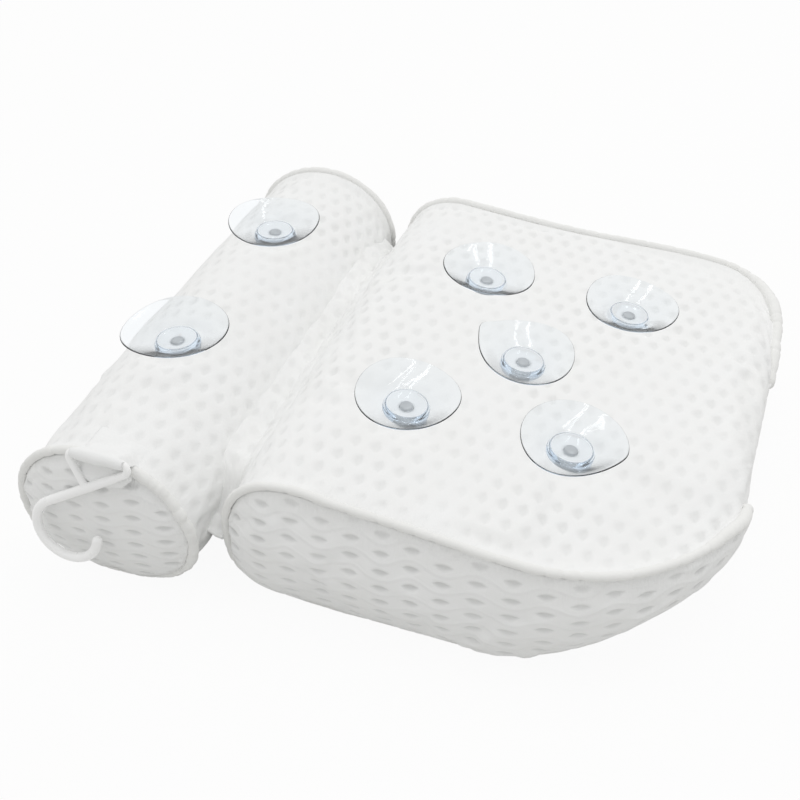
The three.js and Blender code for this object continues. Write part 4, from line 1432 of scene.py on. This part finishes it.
def mesh_fabric():
    """Air mesh: knitted ribs, and dimples coloured darker, partly the open knit's own grey and partly
    painted shade.
    """
    shader = Shader("air_mesh", Roughness=0.88, **CLOTH)
    panel, pit, seam = (
        shader.output("Fac", "ShaderNodeAttribute", attribute_name=name)
        for name in ("panel", "pit", "seam")
    )
    weave = shader.output("UV", "ShaderNodeUVMap", uv_map="weave")
    split = shader.outputs("ShaderNodeSeparateXYZ", {0: weave})
    a, b = Output(shader, split["X"]), Output(shader, split["Y"])

    def by_place(on_cover, on_panel):
        return panel * (on_panel - on_cover) + on_cover

    # The dimples, as in the function of that name
    along = b.math("FRACT") - 0.5
    across = (b.math("FLOOR") * 0.5 + a).math("FRACT") - 0.5
    wide = (across * (1 / DIMPLE_UPPER)).math("MAXIMUM", across * (-1 / DIMPLE_LOWER))
    wide = wide * by_place(1 / COVER_DIMPLE_WIDER, 1.0)
    lens = along / by_place(COVER_DIMPLE_LENGTH, PANEL_DIMPLE_LENGTH)
    edge = {"Value": 1.0 - lens * lens - wide, "From Max": DIMPLE_SOFT}
    pit = shader.output(0, "ShaderNodeMapRange", edge, interpolation_type="SMOOTHSTEP") * pit
    white = shader.mix(shader.noise(CREAM_SCALE) * CREAM_SHARE, FABRIC_WHITE, FABRIC_CREAM)
    # Dimples darkened towards the pit grey: partly the open knit's own colour, partly painted shade,
    # darkest near their upper edge where their lip would shade them
    shader.set("Base Color", shader.mix(pit, white, PIT_GREY_AND_SHADE))

    # Knit, fuzz, the ribs that sway between the dimples, and threads pulled towards the seams
    turns = [place * (2 * math.pi * count) for place, count in zip((a, b), KNIT_STITCHES)]
    knit = turns[0].math("SINE") * turns[1].math("SINE")
    fine = shader.noise(FUZZ_SCALE, 3.0) * FUZZ_HEIGHT + knit * KNIT_HEIGHT
    sway = (b * math.pi - math.pi / 2).math("COSINE")
    rib = ((a - RIB_OFFSET - sway * RIB_SWAY).math("FRACT") - 0.5).math("ABSOLUTE")
    crest = {"Value": rib, "From Max": RIB_HALF, "To Min": RIB_HEIGHT, "To Max": 0.0}
    rib = shader.output(0, "ShaderNodeMapRange", crest)
    fine = rib * by_place(COVER_RIB_SHARE, 1.0) + fine
    counts = zip((a, b), COVER_PULLS, PANEL_PULLS)
    pulled = enumerate(place * by_place(*count) for place, *count in counts)
    pulls = shader.noise(1.0, place=shader.output(0, "ShaderNodeCombineXYZ", pulled))
    fine = pulls * (seam * by_place(COVER_PULL, PANEL_PULL)) + fine
    shader.bump(fine - pit * PIT_DEPTH, 1.0, RELIEF_STRENGTH)
    return shader.material


def tape_fabric(name, colour, darker):
    """Plain woven cotton tape for piping and tab."""
    shader = Shader(name, Roughness=0.85, **CLOTH)
    shader.set("Base Color", shader.mix(shader.noise(60.0) * 0.5, colour, darker))
    shader.bump(shader.noise(160.0) * 2.0 + shader.noise(700.0, 3.0), 0.4, 0.5)
    return shader.material


def clear_plastic():
    """Clear soft plastic with a faint blue body, seen where the way through it is long."""
    shader = Shader(
        "clear_plastic", Base_Color=CLEAR_SURFACE, Roughness=0.065, IOR=1.29, Transmission_Weight=1.0,
    )
    body = {"Color": CLEAR_BODY, "Density": 14.0}
    shader.set_output("Volume", shader.output("Volume", "ShaderNodeVolumeAbsorption", body))
    shader.bump(shader.noise(30.0), 0.5, 0.04)
    return shader.material


def stud_plastic():
    """Greyish plastic of the studs and retainers; in the studs the grey is painted shade, standing for
    the dim keyhole seen through the clear stem.
    """
    shader = Shader("stud_plastic", Roughness=0.35)
    shader.set("Base Color", shader.mix(shader.noise(240.0), STUD_DARK, STUD_PALE))
    return shader.material


def hook_plastic():
    """Glossy moulded white plastic."""
    shader = Shader("hook_white", Base_Color=HOOK_WHITE, Specular_IOR_Level=0.75)
    shader.set("Roughness", shader.noise(90.0) * 0.14 + 0.22)
    shader.bump(shader.noise(220.0), 0.08, 0.3)
    return shader.material


# The object

air_mesh = mesh_fabric()
piping_tape = tape_fabric("piping_tape", PIPING_WHITE, PIPING_SHADE)
tab_tape = tape_fabric("tab_tape", FABRIC_WHITE, TAB_SHADE)
clear = clear_plastic()
stud_grey = stud_plastic()
hook_white = hook_plastic()


def paint(obj, material):
    obj.data.materials.clear()
    obj.data.materials.append(material)


def finish_piece(obj, material, body=None):
    paint(obj, material)
    if body:
        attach(obj, body)


def cup_seat(number):
    return joint(f"cup_{number}_turn")


ROLL_CUPS = (1, 2)
PAD_CUPS = (3, 4, 5, 6, 7)

pad = Cushion(
    "pad_cushion", pad_profile(), PAD_HALF_STEPS, pad_wall, hinge_side=-1, shift=0, crown=PAD_CROWN,
    belly=0, bulge=PAD_SIDE_BULGE, low_power=PANEL_LOW_POWER, skew=PAD_NOSE_SKEW,
    seats=[cup_seat(n) for n in PAD_CUPS],
)
roll = Cushion(
    "roll_cushion", roll_profile(), ROLL_HALF_STEPS, roll_wall, hinge_side=1, shift=ROLL_SHIFT,
    crown=ROLL_CROWN, belly=ROLL_BELLY, bulge=ROLL_END_BULGE, low_power=PANEL_HIGH_POWER, skew=0,
    seats=[cup_seat(n) for n in ROLL_CUPS],
)
dressings = {}
for body, cushion, end in (("pad", pad, "side"), ("roll", roll, "end")):
    dressings[body] = Dressing(cushion)
    obj = dressings[body].build()
    finish_piece(obj, air_mesh, body)
    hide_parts(f"{body}_wrap", f"{body}_{end}_near", f"{body}_{end}_far", f"{body}_core")
    for side, word in ((-1, "near"), (1, "far")):
        cord = piping(f"{body}_piping_{word}_cord", cushion, side, 50 + side + (body == "pad") * 10)
        finish_piece(cord, piping_tape, body)
        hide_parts(f"{body}_piping_{word}")

for number in ROLL_CUPS + PAD_CUPS:
    place, axis = cup_seat(number)
    cup = turned(f"cup_{number}_body", cup_profile(), place, axis, cup_bend(**CUP_BENDS[number]))
    finish_piece(cup, clear, f"cup_{number}")
    # Clear plastic lets the light through, so the cups cast no shadow on the fabric
    cup.visible_shadow = False
    cup.visible_diffuse = False
    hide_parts(f"suction_cup_{number}")
    # The stud's grey is painted shade: it stands for the dim keyhole seen through the clear stem
    stud = turned(f"cup_{number}_stud", stud_profile(), place, axis)
    finish_piece(stud, stud_grey, f"cup_{number}")
    paint(frame["nodes"][f"cup_retainer_{number}"], stud_grey)

hook_place, _ = joint("hook_swing")
hook = hook_rod(hook_place)
finish_piece(hook, hook_white, "hook")
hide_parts("hook")

tab, tab_flat = hook_tab(hook_place, dressings["roll"].cover, dressings["roll"].near)
finish_piece(tab, tab_tape, "roll")
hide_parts("hook_tab")
tuple(side * MM for side in tab_flat)

web, web_flat, web_edges = hinge_web(dressings["pad"].cover, dressings["roll"].cover)
finish_piece(web, air_mesh)
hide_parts("hinge_strip")
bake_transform(web)


# Stage


def floor():
    """A white floor that keeps a faint shadow."""
    signs = ((-1, -1), (1, -1), (1, 1), (-1, 1))
    corners = [(x * FLOOR_HALF, y * FLOOR_HALF, -FLOOR_BELOW) for x, y in signs]
    obj = new_object("floor", corners, [(0, 1, 2, 3)])
    shader = Shader("floor_white", Base_Color=FLOOR_WHITE, Roughness=1.0, Specular_IOR_Level=0.0)
    white = shader.output(0, "ShaderNodeEmission", {"Color": WHITE, "Strength": 1.0})
    lit = Output(shader, shader.principled.outputs[0])
    inputs = {0: shader.seen() * FLOOR_SEEN_WHITE, 1: lit, 2: white}
    shader.set_output("Surface", shader.output(0, "ShaderNodeMixShader", inputs))
    paint(obj, shader.material)


def sky():
    """White to the eye; as light, brighter from above and behind than from the front."""
    world = bpy.data.worlds.new("sky")
    scene.world = world
    world.use_nodes = True
    nodes = Nodes(world.node_tree)
    direction = nodes.output("Generated", "ShaderNodeTexCoord")
    bright_side = {0: direction, 1: Vector(SKY_BRIGHT_SIDE).normalized()}
    lean = nodes.output("Value", "ShaderNodeVectorMath", bright_side, operation="DOT_PRODUCT")
    levels = {"Value": lean, "From Min": -1.0, "To Min": SKY_LEAST, "To Max": SKY_MOST}
    level = nodes.output(0, "ShaderNodeMapRange", levels)
    strength = nodes.output("Result", "ShaderNodeMix", {"Factor": nodes.seen(), "A": level, "B": 1.0})
    background = world.node_tree.nodes["Background"].inputs
    nodes.put(strength, background["Strength"])
    nodes.put(WHITE, background["Color"])


def strip_lamp(name, place):
    """A long lamp overhead, along Y, that draws a streak inside each cup."""
    light = bpy.data.lights.new(name, "AREA")
    light.shape = "RECTANGLE"
    light.size = STRIP_WIDTH * MM
    light.size_y = STRIP_LENGTH * MM
    light.energy = STRIP_WATTS
    linked(name, light).location = Vector(place) * MM


def camera():
    """The photograph's camera."""
    data = bpy.data.cameras.new("camera")
    data.sensor_width = SENSOR_WIDTH
    data.lens = CAMERA_FOCAL_PIXELS * SENSOR_WIDTH / PHOTO_PIXELS
    place, target = Vector(CAMERA_PLACE) * MM, Vector(CAMERA_TARGET) * MM
    scene.camera = linked("camera", data)
    scene.camera.location = place
    scene.camera.rotation_euler = (target - place).to_track_quat("-Z", "Y").to_euler()


floor()
sky()
for name, place in STRIP_PLACES.items():
    strip_lamp(name, place)
camera()
scene.view_settings.view_transform = "Standard"
